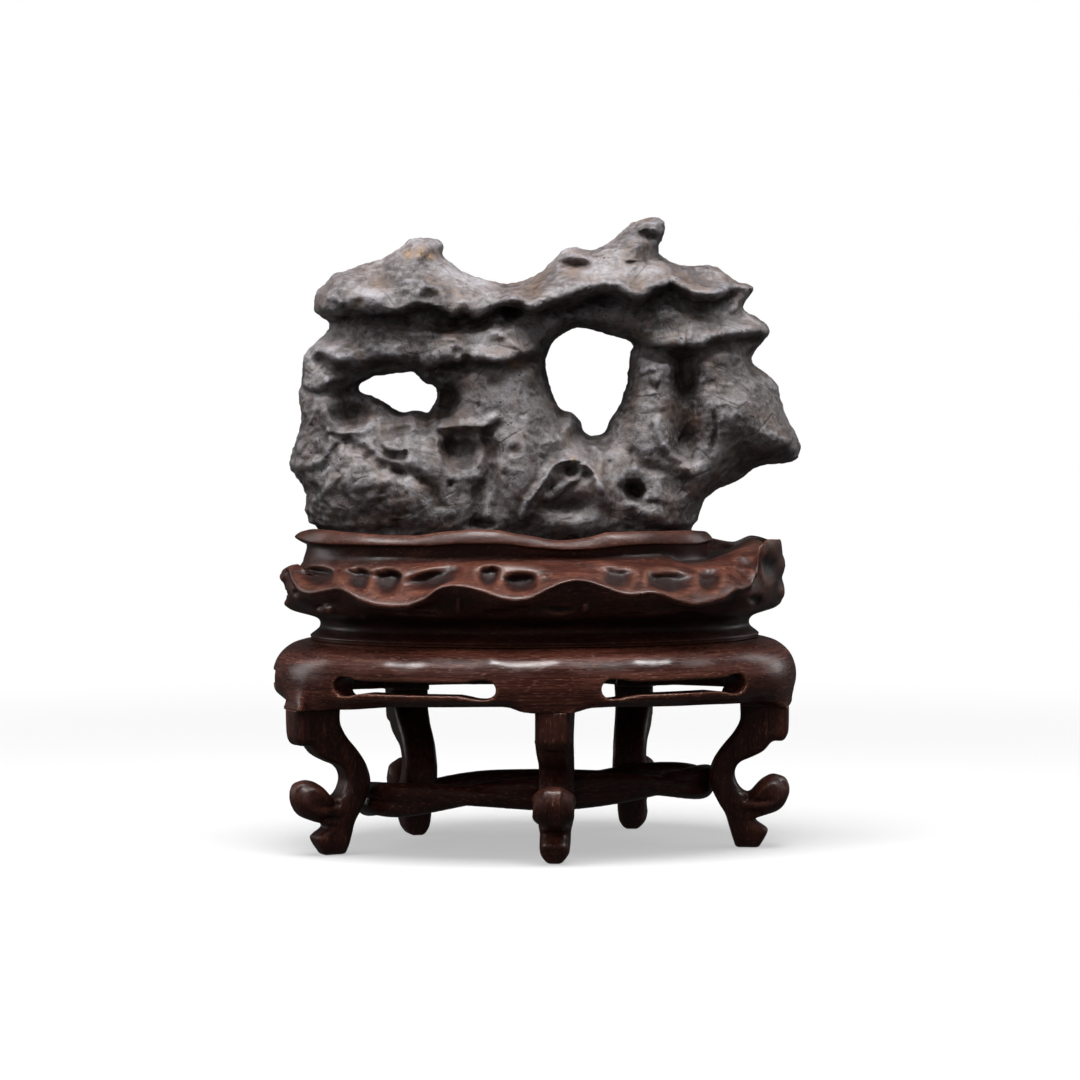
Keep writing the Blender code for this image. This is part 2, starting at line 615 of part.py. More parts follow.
def relief(points, ledges, lumps, lines):
    """Depth added to a face of the stone by its ledges, lumps, ridges and grooves."""
    total = np.zeros(len(points))
    for hang, above, sink, below, lip in ledges:
        distance, side = line_distance(points, lip)
        fade = end_fade(points, lip, 8.0)
        total += np.where(side > 0, hang * (1.0 - soft_step(distance / above)), 0.0) * fade
        total -= np.where(side <= 0, sink * (1.0 - soft_step(distance / below)), 0.0) * fade
    for along, height, half_along, half_up, rise in lumps:
        reach = np.hypot((points[:, 0] - along) / half_along, (points[:, 1] - height) / half_up)
        total += rise * (1.0 - soft_step(reach / 1.25))
    for half_width, rise, line in lines:
        distance, _side = line_distance(points, line)
        total += rise * (1.0 - soft_step(distance / half_width))
    return total


def stone_blank(group):
    """The outline with its windows as a thick slab, standing upright, remeshed evenly."""
    blank = flat_curve("rock", [STONE_OUTLINE, WIDE_WINDOW, SMALL_WINDOW], STONE_SLAB, group)
    blank = bake(blank)
    return remeshed(blank)


def remeshed(item):
    """An even skin of small faces over a closed mesh."""
    modifier = item.modifiers.new("skin", "REMESH")
    modifier.mode = "VOXEL"
    modifier.voxel_size = STONE_VOXEL * MM
    return bake(item)


def rim_distance(points):
    """Distance to the nearest edge of the outline or of a window."""
    best = np.full(len(points), 1e9)
    for loop in (STONE_OUTLINE, WIDE_WINDOW, SMALL_WINDOW):
        distance, _side = line_distance(points, loop + loop[:1])
        best = np.minimum(best, distance)
    return best


def bulge(along, height, shape):
    """Half depth of the stone, which thins upwards and towards its ends."""
    half_depth, by_height, by_length, middle = shape
    return half_depth - by_height * (height - STONE_FLOOR) - by_length * (along - middle) ** 2


def shape_stone(blank_points):
    """Map the slab between its carved front and back surfaces."""
    face = blank_points[:, :2]
    depth_share = np.clip(blank_points[:, 2] / STONE_SLAB, -1.0, 1.0)
    rim = rim_distance(face)
    swell = np.clip(rim / BULGE_ROUNDING, 0.0, 1.0)
    swell = (1.0 - (1.0 - swell) ** BULGE_POWER) ** (1.0 / BULGE_POWER)
    settle = np.clip(rim / EDGE_CALM, 0.0, 1.0)
    along, height = face.T
    spread = (face - (0.0, STONE_MIDDLE)) * FRONT_SPREAD + (0.0, STONE_MIDDLE)
    front_relief = relief(spread, FRONT_LEDGES, FRONT_LUMPS, FRONT_LINES)
    back_relief = relief(face, BACK_LEDGES, BACK_LUMPS, BACK_LINES)
    front = EDGE_DEPTH + bulge(along, height, FRONT_BULGE) * swell + settle * front_relief
    back = EDGE_DEPTH + bulge(along, height, BACK_BULGE) * swell + settle * back_relief
    front = np.maximum(front, GAP)
    back = np.maximum(back, GAP)
    depth = np.where(depth_share > 0, depth_share * front, depth_share * back)
    return along + STONE_SHIFT, -depth, height


def roughen(points, normals):
    """Low lumps in flat-lying beds, pushed along the normals."""
    moved = points.copy()
    for index, (point, normal) in enumerate(zip(points, normals)):
        rise = BED_RISE * noise.noise(point / BED_SIZE)
        rise += KNOB_RISE * noise.noise(point / KNOB_SIZE)
        moved[index] += normal * rise
    return moved


def seat_in_socket(points):
    """Draw the stone's foot inside the socket's oval and set it flat on the floor."""
    length, depth, centre = SEAT_RINGS[-1][0] - 1.0, SEAT_RINGS[-1][1] - 1.0, SEAT_RINGS[-1][2]
    reach = np.hypot((points[:, 0] - centre) / length, points[:, 1] / depth)
    low = soft_step((146.0 - points[:, 2]) / 4.0)
    squeeze = np.where(reach > 1.0, 1.0 + low * (1.0 / np.maximum(reach, 1.0) - 1.0), 1.0)
    points[:, 0] = centre + (points[:, 0] - centre) * squeeze
    points[:, 1] *= squeeze
    points[:, 2] = np.maximum(points[:, 2], STONE_FLOOR)
    return points


def make_rock(group, material):
    """The stone: blank, carved faces, lumpy skin, then a facet count that stays light."""
    rock = stone_blank(group)
    along, across, height = shape_stone(read_points(rock.data))
    x = (along + math.sin(WINDOW_YAW) * across) / math.cos(WINDOW_YAW)
    write_points(rock.data, np.column_stack((x, across, height)))
    rock = remeshed(rock)
    smooth = rock.modifiers.new("soften", "SMOOTH")
    smooth.iterations = 2
    rock = bake(rock)
    normals = np.empty(len(rock.data.vertices) * 3)
    rock.data.vertices.foreach_get("normal", normals)
    points = roughen(read_points(rock.data), normals.reshape(-1, 3))
    write_points(rock.data, seat_in_socket(points))
    triangles = sum(len(face.vertices) - 2 for face in rock.data.polygons)
    thin = rock.modifiers.new("thin", "DECIMATE")
    thin.ratio = STONE_TRIANGLES / triangles
    thin.use_collapse_triangulate = True
    rock = bake(rock)
    write_points(rock.data, seat_in_socket(read_points(rock.data)))
    finish(rock, material, 60.0)
    return rock


def centre_pieces(group):
    """Stand the whole object over the origin."""
    pieces = [item for item in group.objects if item.type == "MESH"]
    corners = [read_points(item.data) for item in pieces]
    low = np.min([points.min(axis=0) for points in corners], axis=0)
    high = np.max([points.max(axis=0) for points in corners], axis=0)
    shift = (low + high) / 2.0
    shift[2] = 0.0
    for item, points in zip(pieces, corners):
        write_points(item.data, points - shift)


def main():
    clear_scene()
    group = new_collection("scholars_rock")
    make_apron(group, wood_material("apron_wood", 1.05))
    make_seat(group, wood_material("seat_wood", 1.0))
    for order, name in enumerate(LEGS):
        make_leg(name, group, wood_material(name + "_wood", 0.92 + 0.03 * order))
    make_stretcher(group, wood_material("stretcher_wood", 0.8))
    make_rock(group, stone_material())
    centre_pieces(group)


main()
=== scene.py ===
import math

import bmesh
import bpy
import numpy as np
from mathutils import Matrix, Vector, noise


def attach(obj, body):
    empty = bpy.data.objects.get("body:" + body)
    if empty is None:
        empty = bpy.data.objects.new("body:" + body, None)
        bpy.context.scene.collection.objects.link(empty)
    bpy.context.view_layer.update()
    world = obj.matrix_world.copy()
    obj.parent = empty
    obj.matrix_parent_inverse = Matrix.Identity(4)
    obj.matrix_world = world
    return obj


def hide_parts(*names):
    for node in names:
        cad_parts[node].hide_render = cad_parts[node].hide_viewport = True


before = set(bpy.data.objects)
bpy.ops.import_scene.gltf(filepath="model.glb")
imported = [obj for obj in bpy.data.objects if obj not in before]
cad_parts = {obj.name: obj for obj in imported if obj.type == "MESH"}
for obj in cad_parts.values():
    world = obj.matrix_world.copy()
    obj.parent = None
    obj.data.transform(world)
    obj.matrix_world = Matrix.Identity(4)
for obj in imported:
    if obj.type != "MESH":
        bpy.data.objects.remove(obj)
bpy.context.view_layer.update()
print("frame loaded")

# Points are in millimetres about the middle of the stand's oval, with the front towards -Y.
mm = 0.001
standCentre = (-2.38, 0.137)  # the oval's middle, from the middle of the whole object

# ---- camera

view = {
    "turn": math.radians(9.0),  # the front is seen from this far to the left
    "distance": 1755.0,
    "eye": (-272.3, -1731.9, 210.9),
    "target": (2.0, 0.0, 137.4),
    "lens": 130.0,
    "gridMiddle": (536.0, 376.5),  # view grid of 1080 squares, where it meets the axis at eye height
    "gridSize": (0.45, 0.4495),  # millimetres to a square on the plane through the middle
}


def placed(point):
    # stand millimetres to metres in the object's frame
    return Vector(((point[0] + standCentre[0]) * mm, (point[1] + standCentre[1]) * mm, point[2] * mm))


def makeCamera():
    camera = bpy.data.objects.new("camera", bpy.data.cameras.new("camera"))
    bpy.context.scene.collection.objects.link(camera)
    camera.data.lens = view["lens"]
    camera.data.sensor_width = 36.0
    camera.data.clip_end = 50.0
    eye = placed(view["eye"])
    camera.location = eye
    camera.rotation_euler = (placed(view["target"]) - eye).to_track_quat("-Z", "Y").to_euler()
    bpy.context.scene.camera = camera


makeCamera()


def frontView(points):
    # across and up on the plane through the middle, where a point shows from the front, and its depth
    turnCos, turnSin = math.cos(view["turn"]), math.sin(view["turn"])
    across = points[:, 0] * turnCos - points[:, 1] * turnSin
    away = points[:, 0] * turnSin + points[:, 1] * turnCos
    closer = view["distance"] / (view["distance"] + away)
    up = view["eye"][2] - (view["eye"][2] - points[:, 2]) * closer
    return np.column_stack((across * closer, up)), away


def onGrid(line):
    # view grid places to millimetres on the plane through the middle
    line = np.array(line, dtype=float)
    across = (line[:, 0] - view["gridMiddle"][0]) * view["gridSize"][0]
    up = view["eye"][2] - (line[:, 1] - view["gridMiddle"][1]) * view["gridSize"][1]
    return np.column_stack((across, up))


# ---- mesh helpers

def addPiece(name, data):
    piece = bpy.data.objects.new(name, data)
    bpy.context.scene.collection.objects.link(piece)
    return piece


def readPoints(mesh):
    points = np.empty(len(mesh.vertices) * 3)
    mesh.vertices.foreach_get("co", points)
    points = points.reshape(-1, 3) / mm
    points[:, 0] -= standCentre[0]
    points[:, 1] -= standCentre[1]
    return points


def writePoints(mesh, points):
    moved = points.copy()
    moved[:, 0] += standCentre[0]
    moved[:, 1] += standCentre[1]
    mesh.vertices.foreach_set("co", (moved * mm).ravel())
    mesh.update()


def readNormals(mesh):
    normals = np.empty(len(mesh.vertices) * 3)
    mesh.vertices.foreach_get("normal", normals)
    return normals.reshape(-1, 3)


def bakePiece(piece):
    # modifiers or a curve's bevel become plain mesh
    bpy.context.view_layer.update()
    graph = bpy.context.evaluated_depsgraph_get()
    mesh = bpy.data.meshes.new_from_object(piece.evaluated_get(graph))
    name = piece.name
    bpy.data.objects.remove(piece, do_unlink=True)
    bm = bmesh.new()
    bm.from_mesh(mesh)
    bmesh.ops.remove_doubles(bm, verts=bm.verts, dist=0.01 * mm)
    bm.to_mesh(mesh)
    bm.free()
    mesh.name = name
    return addPiece(name, mesh)


def remeshPiece(piece, voxel, smoothing=0, factor=0.5):
    # one even closed skin, a little softened
    skin = piece.modifiers.new("skin", "REMESH")
    skin.mode = "VOXEL"
    skin.voxel_size = voxel * mm
    if smoothing:
        soften = piece.modifiers.new("soften", "SMOOTH")
        soften.iterations = smoothing
        soften.factor = factor
    return bakePiece(piece)


def flatCurve(name, outlines, halfThickness, bevel=0.0, bevelSteps=0):
    # closed outlines filled and thickened both ways; an outline inside another is a hole
    curve = bpy.data.curves.new(name, "CURVE")
    curve.dimensions = "2D"
    curve.fill_mode = "BOTH"
    curve.extrude = (halfThickness - bevel) * mm
    curve.bevel_depth = bevel * mm
    curve.bevel_resolution = bevelSteps
    curve.offset = -bevel * mm
    for outline in outlines:
        spline = curve.splines.new("POLY")
        spline.points.add(len(outline) - 1)
        for point, place in zip(spline.points, outline):
            point.co = (place[0] * mm, place[1] * mm, 0.0, 1.0)
        spline.use_cyclic_u = True
    return bakePiece(addPiece(name, curve))


def rawPoints(mesh):
    # millimetres without the stand's offset, for blanks drawn about the origin
    points = np.empty(len(mesh.vertices) * 3)
    mesh.vertices.foreach_get("co", points)
    return points.reshape(-1, 3) / mm


def cutAway(piece, cutter, operation="DIFFERENCE"):
    carve = piece.modifiers.new("cut", "BOOLEAN")
    carve.operation = operation
    carve.object = cutter
    piece = bakePiece(piece)
    bpy.data.objects.remove(cutter, do_unlink=True)
    return piece


def softStep(value):
    value = np.clip(value, 0.0, 1.0)
    return value * value * (3.0 - 2.0 * value)


def alongLine(points, line):
    # distance to a run of straight stretches, its side (1 on the left), place along it, its length
    best = np.full(len(points), 1e9)
    side = np.zeros(len(points))
    run = np.zeros(len(points))
    length = 0.0
    for start, end in zip(line[:-1], line[1:]):
        start = np.array(start, dtype=float)
        step = np.array(end, dtype=float) - start
        stretch = math.hypot(step[0], step[1])
        share = np.clip(((points - start) @ step) / (step @ step), 0.0, 1.0)
        away = points - start - share[:, None] * step
        distance = np.hypot(away[:, 0], away[:, 1])
        nearer = distance < best
        best = np.where(nearer, distance, best)
        side = np.where(nearer, np.sign(step[0] * away[:, 1] - step[1] * away[:, 0]), side)
        run = np.where(nearer, length + share * stretch, run)
        length += stretch
    return best, side, run, length


def throughPoints(knots, steps, closed=False):
    # a smooth line through every knot
    knots = np.array(knots, dtype=float)
    count = len(knots)
    spans = count if closed else count - 1
    line = []
    for index in range(spans):
        around = [index - 1, index, index + 1, index + 2]
        if closed:
            around = [place % count for place in around]
        else:
            around = [min(max(place, 0), count - 1) for place in around]
        before, start, end, after = knots[around]
        for step in range(steps):
            t = step / steps
            line.append(0.5 * (2.0 * start + (end - before) * t
                               + (2.0 * before - 5.0 * start + 4.0 * end - after) * t * t
                               + (3.0 * start - before - 3.0 * end + after) * t ** 3))
    if not closed:
        line.append(knots[-1])
    return np.array(line)


def noiseAt(points, size, seed=0.0):
    # smooth noise of about that size in millimetres, -1 to 1
    scaled = (points / np.array(size)) + seed
    return np.array([noise.noise(place) for place in scaled])


def edgeArrays(mesh):
    edges = np.empty(len(mesh.edges) * 2, dtype=np.int64)
    mesh.edges.foreach_get("vertices", edges)
    return edges.reshape(-1, 2)


def averaged(values, edges, rounds):
    # each value drawn towards the mean of its neighbours
    count = len(values)
    linked = np.bincount(edges[:, 0], minlength=count) + np.bincount(edges[:, 1], minlength=count)
    linked = np.maximum(linked, 1)
    for _round in range(rounds):
        columns = []
        for column in values.T:
            total = np.bincount(edges[:, 0], weights=column[edges[:, 1]], minlength=count)
            total += np.bincount(edges[:, 1], weights=column[edges[:, 0]], minlength=count)
            columns.append(0.5 * column + 0.5 * total / linked)
        values = np.array(columns).T
    return values


def hollowness(mesh, rounds):
    # millimetres that a point lies below its smoothed surroundings; ridges are negative
    points = readPoints(mesh)
    smooth = averaged(points, edgeArrays(mesh), rounds)
    return np.einsum("ij,ij->i", smooth - points, readNormals(mesh))


def storeValue(mesh, name, values):
    layer = mesh.attributes.new(name, "FLOAT", "POINT")
    layer.data.foreach_set("value", np.ascontiguousarray(values, dtype=np.float32))


def storeVector(mesh, name, values):
    layer = mesh.attributes.new(name, "FLOAT_VECTOR", "POINT")
    layer.data.foreach_set("vector", np.ascontiguousarray(values, dtype=np.float32).ravel())


# ---- materials

def hexColour(code):
    # sRGB hex to linear
    values = [int(code[place:place + 2], 16) / 255.0 for place in (1, 3, 5)]
    return [value / 12.92 if value <= 0.04045 else ((value + 0.055) / 1.055) ** 2.4
            for value in values] + [1.0]


def addNode(tree, kind, inputs=None, output=0, ramp=None, **settings):
    # one node with its settings and links, given back as one of its outputs
    node = tree.nodes.new("ShaderNode" + kind)
    for name, value in settings.items():
        setattr(node, name, value)
    for name, value in (inputs or {}).items():
        if isinstance(value, bpy.types.NodeSocket):
            tree.links.new(value, node.inputs[name])
        else:
            node.inputs[name].default_value = value
    if ramp:
        while len(node.color_ramp.elements) < len(ramp):
            node.color_ramp.elements.new(0.5)
        for element, (place, code) in zip(node.color_ramp.elements, ramp):
            element.position = place
            element.color = hexColour(code)
    return node.outputs[output] if node.outputs else node


stoneFinish = {
    "shades": ((0.30, "#2c2727"), (0.44, "#4e4746"), (0.54, "#6c6564"), (0.68, "#8f8b8e")),
    # paintedShadeColour is the colour of painted shade in hollows, pits and fissures; wearAndHighlightColour is rubbed
    # wear and partly painted highlight
    "paintedShadeColour": "#1e1715",
    "wearAndHighlightColour": "#96949b",
    "brown": "#66503f",
    "ochre": "#9a7752",
    "patchSize": 22.0,  # all sizes in millimetres
    "mottleSize": 2.6,
    "grainSize": 0.9,  # the real grains are under 0.1 mm; drawn coarser so that they show
    "pitSpacing": 3.2,
    "fissureSize": 9.0,
    "roughness": (0.45, 0.66),
    "relief": 0.7,
}


def makeStoneMaterial():
    # Lingbi-type limestone, dug up, brushed clean and waxed: mottled greys, a low sheen on its worn ridges, which are
    # painted lighter as wear and partly as a painted highlight, painted shade darkening its hollows, pits and fissures,
    # and brown clay left in its hollows
    material = bpy.data.materials.new("waxedLimestone")
    material.use_nodes = True
    tree = material.node_tree
    shader = tree.nodes["Principled BSDF"]
    place = addNode(tree, "TexCoord", output="Object")
    place = addNode(tree, "Mapping", {"Vector": place, "Scale": (1.0 / mm, 1.0 / mm, 1.0 / mm)})
    hollow, wearAndHighlight, stain, clay = [addNode(tree, "Attribute", output="Fac", attribute_name=name)
                                 for name in ("hollow", "wearAndHighlight", "stain", "clay")]
    # size, detail, roughness and distortion of each scatter
    patches, mottle, grain, brownPatches, pitPatches, fissurePatches = [
        addNode(tree, "TexNoise", {"Vector": place, "Scale": 1.0 / size, "Detail": detail,
                                   "Roughness": roughness, "Distortion": distortion})
        for size, detail, roughness, distortion in (
            (stoneFinish["patchSize"], 6.0, 0.6, 0.4), (stoneFinish["mottleSize"], 5.0, 0.65, 0.0),
            (stoneFinish["grainSize"], 3.0, 0.6, 0.0), (14.0, 5.0, 0.6, 0.0), (9.0, 2.0, 0.55, 0.0),
            (17.0, 3.0, 0.55, 0.0))]
    pits = addNode(tree, "TexVoronoi", {"Vector": place, "Scale": 1.0 / stoneFinish["pitSpacing"]})
    # fine fissures break the skin into flakes
    wander = addNode(tree, "TexNoise", {"Vector": place, "Scale": 1.0 / 7.0, "Detail": 3.0}, "Color")
    bent = addNode(tree, "Mix", {0: 0.35, 4: place, 5: wander}, 1, data_type="VECTOR")
    fissures = addNode(tree, "TexVoronoi", {"Vector": bent, "Scale": 1.0 / stoneFinish["fissureSize"]},
                       feature="DISTANCE_TO_EDGE")
    # each mask: what it reads, from, to, and the values it gives there
    (wearAndHighlightSpots, brownSpots, brownMottle, stainMottle, clayGrain, paintedShadePatches, pitHoles, pitPlaces,
     fissureLines, fissurePlaces) = [
        addNode(tree, "MapRange", {"Value": value, "From Min": low, "From Max": high,
                                   "To Min": first, "To Max": last})
        for value, low, high, first, last in (
            (mottle, 0.35, 0.6, 0.25, 0.8), (brownPatches, 0.47, 0.63, 0.0, 0.75),
            (mottle, 0.4, 0.6, 0.0, 1.0), (mottle, 0.3, 0.65, 0.2, 0.9), (grain, 0.35, 0.6, 0.2, 0.9),
            (patches, 0.3, 0.6, 0.95, 0.6), (pits, 0.10, 0.20, 1.0, 0.0), (pitPatches, 0.5, 0.62, 0.0, 1.0),
            (fissures, 0.0, 0.05, 1.0, 0.0), (fissurePatches, 0.46, 0.6, 0.0, 0.8))]
    # the hollow mask paints shade into hollows, patchy; the worn mask paints ridges lighter as rubbed wear and partly
    # as a painted highlight
    wearAndHighlightMask, clayMask, hollowMask, pitMask, fissureMask, scatteredBrown, stainedBrown = [
        addNode(tree, "Math", {0: first, 1: second}, operation="MULTIPLY")
        for first, second in (
            (wearAndHighlight, wearAndHighlightSpots), (clay, clayGrain), (hollow, paintedShadePatches), (pitHoles, pitPlaces),
            (fissureLines, fissurePlaces), (brownSpots, brownMottle), (stain, stainMottle))]
    brownMask = addNode(tree, "Math", {0: scatteredBrown, 1: stainedBrown}, operation="MAXIMUM")
    # pits and fissures painted darker: painted shade in them
    pitPaintedShade, fissurePaintedShade = [addNode(tree, "Math", {0: mask, 1: share}, operation="MULTIPLY")
                              for mask, share in ((pitMask, 0.75), (fissureMask, 0.5))]
    tone = addNode(tree, "Math", {0: patches, 1: 0.9, 2: -0.285}, operation="MULTIPLY_ADD")
    tone = addNode(tree, "Math", {0: mottle, 1: 0.45, 2: tone}, operation="MULTIPLY_ADD")
    tone = addNode(tree, "Math", {0: grain, 1: 0.22, 2: tone}, operation="MULTIPLY_ADD")
    shade = addNode(tree, "ValToRGB", {"Fac": tone}, ramp=stoneFinish["shades"])
    # the pale colour on ridges is rubbed wear and partly a painted highlight; the dark colour in hollows, pits and
    # fissures is painted shade
    for mask, colour in ((wearAndHighlightMask, "wearAndHighlightColour"), (brownMask, "brown"), (clayMask, "ochre"),
                         (hollowMask, "paintedShadeColour"), (pitPaintedShade, "paintedShadeColour"), (fissurePaintedShade, "paintedShadeColour")):
        shade = addNode(tree, "Mix", {0: mask, 6: shade, 7: hexColour(stoneFinish[colour])}, 2, data_type="RGBA")
    tree.links.new(shade, shader.inputs["Base Color"])
    polish = addNode(tree, "Math", {0: wearAndHighlight, 1: -0.25, 2: mottle}, operation="MULTIPLY_ADD")
    low, high = stoneFinish["roughness"]
    rough = addNode(tree, "MapRange", {"Value": polish, "From Min": 0.25, "From Max": 0.7,
                                       "To Min": low, "To Max": high})
    tree.links.new(rough, shader.inputs["Roughness"])
    shader.inputs["IOR"].default_value = 1.5
    shader.inputs["Coat Weight"].default_value = 0.1
    shader.inputs["Coat Roughness"].default_value = 0.25
    rise = mottle
    for part, share in ((grain, 0.35), (pitMask, -0.5), (fissureMask, -0.5)):
        rise = addNode(tree, "Math", {0: part, 1: share, 2: rise}, operation="MULTIPLY_ADD")
    bump = addNode(tree, "Bump", {"Strength": 1.0, "Distance": stoneFinish["relief"] * mm, "Height": rise})
    tree.links.new(bump, shader.inputs["Normal"])
    return material


woodFinish = {
    "shades": ((0.30, "#1c0c0a"), (0.50, "#391b15"), (0.68, "#593025")),
    # wearAndHighlightColour is rubbed wear and partly painted highlight on edges; paintedShadeColour is the colour of
    # painted shade in hollows
    "wearAndHighlightColour": "#6e4636",
    "poreShade": "#9a6852",
    "paintedShadeColour": "#120605",
    "bands": (120.0, 7.0),  # length and width in millimetres
    "streaks": (22.0, 1.1),
    "pores": (3.4, 0.42),  # real pores are 0.2 mm wide; drawn twice as wide so that they show
    "toolWaves": (16.0, 9.0),
    "relief": 0.25,
}


def makeWoodMaterial(name, shadeShift, roughness):
    # red sandalwood, carved, scraped, oiled and waxed: dark red-brown with long streaks, pores
    # filled with pale old wax, edges painted lighter as rubbed wear and partly as a painted highlight, hollows and
    # undersides painted darker as painted shade, a soft gloss over the tool's slight waves
    material = bpy.data.materials.new(name)
    material.use_nodes = True
    tree = material.node_tree
    shader = tree.nodes["Principled BSDF"]
    place = addNode(tree, "Attribute", output="Vector", attribute_name="grain")
    wearAndHighlight, hollow = [addNode(tree, "Attribute", output="Fac", attribute_name=layer)
                    for layer in ("wearAndHighlight", "hollow")]
    figure = []
    for part, detail, fineness in (("bands", 3.0, 0.5), ("streaks", 4.0, 0.6), ("pores", 1.0, 0.5),
                                   ("toolWaves", 2.0, 0.5)):
        length, width = woodFinish[part]
        scaled = addNode(tree, "Mapping", {"Vector": place, "Scale": (1.0 / length, 1.0 / width, 1.0 / width)})
        figure.append(addNode(tree, "TexNoise", {"Vector": scaled, "Scale": 1.0, "Detail": detail,
                                                 "Roughness": fineness}))
    bands, streaks, pores, waves = figure
    wearAndHighlightStreaks, poreSpots, poreBands, rough = [
        addNode(tree, "MapRange", {"Value": value, "From Min": low, "From Max": high,
                                   "To Min": first, "To Max": last})
        for value, low, high, first, last in (
            (streaks, 0.3, 0.6, 0.35, 0.85), (pores, 0.62, 0.70, 0.0, 1.0), (bands, 0.35, 0.6, 0.15, 0.55),
            (streaks, 0.3, 0.7, roughness, roughness + 0.12))]
    wearAndHighlightMask, poreMask, hollowMask = [
        addNode(tree, "Math", {0: first, 1: second}, operation="MULTIPLY")
        for first, second in ((wearAndHighlight, wearAndHighlightStreaks), (poreSpots, poreBands), (hollow, 0.85))]
    tone = addNode(tree, "Math", {0: bands, 1: 0.5, 2: shadeShift}, operation="MULTIPLY_ADD")
    tone = addNode(tree, "Math", {0: streaks, 1: 0.5, 2: tone}, operation="MULTIPLY_ADD")
    shade = addNode(tree, "ValToRGB", {"Fac": tone}, ramp=woodFinish["shades"])
    # edges get the pale colour as rubbed wear and partly as a painted highlight; hollows get the dark colour as painted
    # shade
    for mask, colour in ((wearAndHighlightMask, "wearAndHighlightColour"), (poreMask, "poreShade"), (hollowMask, "paintedShadeColour")):
        shade = addNode(tree, "Mix", {0: mask, 6: shade, 7: hexColour(woodFinish[colour])}, 2, data_type="RGBA")
    tree.links.new(shade, shader.inputs["Base Color"])
    for part, share in ((poreMask, 0.25), (hollow, 0.08)):
        rough = addNode(tree, "Math", {0: part, 1: share, 2: rough}, operation="MULTIPLY_ADD")
    tree.links.new(rough, shader.inputs["Roughness"])
    shader.inputs["IOR"].default_value = 1.46
    shader.inputs["Coat Weight"].default_value = 0.1
    shader.inputs["Coat Roughness"].default_value = 0.22
    rise = addNode(tree, "Math", {0: waves, 1: 2.0}, operation="MULTIPLY")
    for part, share in ((streaks, 0.25), (poreMask, -0.3)):
        rise = addNode(tree, "Math", {0: part, 1: share, 2: rise}, operation="MULTIPLY_ADD")
    bump = addNode(tree, "Bump", {"Strength": 0.6, "Distance": woodFinish["relief"] * mm, "Height": rise})
    tree.links.new(bump, shader.inputs["Normal"])
    return material


def finishPiece(piece, material, node):
    piece.data.materials.clear()
    piece.data.materials.append(material)
    piece.data.shade_smooth()
    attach(piece, "root")
    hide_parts(node)


# ---- stone

stone = {
    "floor": 135.8,
    "ceiling": 282.6,
    "halfSlab": 45.0,
    "spread": 1.022,  # the front stands nearer than the middle, so its features are drawn this much apart
    "frontBulge": (37.0, 0.05, 0.0012, 5.0),  # half depth, loss by height, loss and place along
    "backBulge": (36.0, 0.07, 0.0010, -5.0),
    "rounding": 26.0,
    "roundingPower": 2.4,
    "edgeCalm": 6.0,
    "edgeDepth": 3.0,
    "shift": 1.0,
    "coarse": 1.6,
    "middling": 1.2,
    "fine": 0.86,
    "mostTriangles": 190000,
}

# side outline, clockwise from the left tip: across, up
stoneOutline = (
    (-99.5, 239.5), (-97.7, 248.3), (-90.5, 256.4), (-78.8, 260.0), (-69.3, 262.7),
    (-59.0, 269.0), (-56.7, 271.8), (-51.8, 272.4), (-44.6, 271.0), (-42.3, 269.4),
    (-44.6, 265.8), (-42.3, 263.1), (-31.5, 256.4), (-22.1, 253.7), (-14.0, 251.4),
    (-6.3, 253.2), (1.8, 257.7), (7.2, 263.1), (11.3, 268.1), (16.2, 269.0),
    (24.0, 267.0), (30.5, 269.6), (36.0, 273.0), (42.6, 279.4), (47.0, 281.4), (53.5, 282.6),
    (57.2, 280.7), (56.7, 274.4), (53.6, 269.4), (54.0, 264.9), (61.7, 261.3),
    (67.5, 260.0), (77.4, 260.9), (81.5, 259.5), (88.7, 253.7), (98.1, 251.4),
    (95.9, 248.3), (91.8, 242.9), (90.9, 239.7), (99.9, 236.6), (105.3, 231.6),
    (103.1, 227.1), (96.3, 220.8), (96.3, 215.8), (101.3, 213.6), (107.6, 208.2),
    (109.8, 200.1), (112.5, 192.4), (117.0, 184.3), (118.8, 179.3), (117.9, 173.9),
    (113.9, 172.1), (101.3, 171.7), (96.3, 169.4), (90.0, 164.5), (80.6, 160.4),
    (74.3, 154.1), (72.0, 147.8), (70.7, 141.5), (68.0, 132.0),
    (-93.0, 132.0), (-96.5, 141.5), (-101.7, 146.5), (-102.6, 151.0),
    (-103.1, 159.1), (-107.1, 166.7), (-109.8, 170.8), (-109.8, 176.6),
    (-107.1, 182.9), (-104.9, 189.3), (-105.3, 196.9), (-105.3, 204.1),
    (-104.0, 206.4), (-104.4, 212.7), (-103.5, 219.0), (-102.5, 222.0),
    (-97.7, 226.2), (-91.4, 231.6), (-92.7, 234.7),
)
wideWindow = (
    (9.9, 229.4), (16.7, 233.4), (25.7, 232.1), (35.1, 228.9), (41.4, 227.1),
    (45.0, 224.4), (41.4, 222.1), (41.4, 215.8), (40.5, 206.4), (36.5, 196.9),
    (32.0, 190.6), (31.5, 186.5), (28.8, 184.3), (23.0, 183.8), (19.8, 186.1),
    (18.5, 190.6), (15.3, 194.7), (10.4, 194.7), (6.8, 201.9), (4.1, 209.5),
    (2.7, 215.8), (4.1, 223.9),
)
smallWindow = (
    (-84.0, 204.8), (-74.0, 211.6), (-64.4, 212.7), (-54.5, 214.0), (-52.7, 211.3),
    (-50.4, 207.7), (-45.5, 208.2), (-44.6, 201.9), (-47.3, 195.6), (-48.6, 192.4),
    (-51.8, 195.1), (-56.7, 195.6), (-61.2, 194.2), (-67.5, 198.7), (-73.8, 201.9),
)

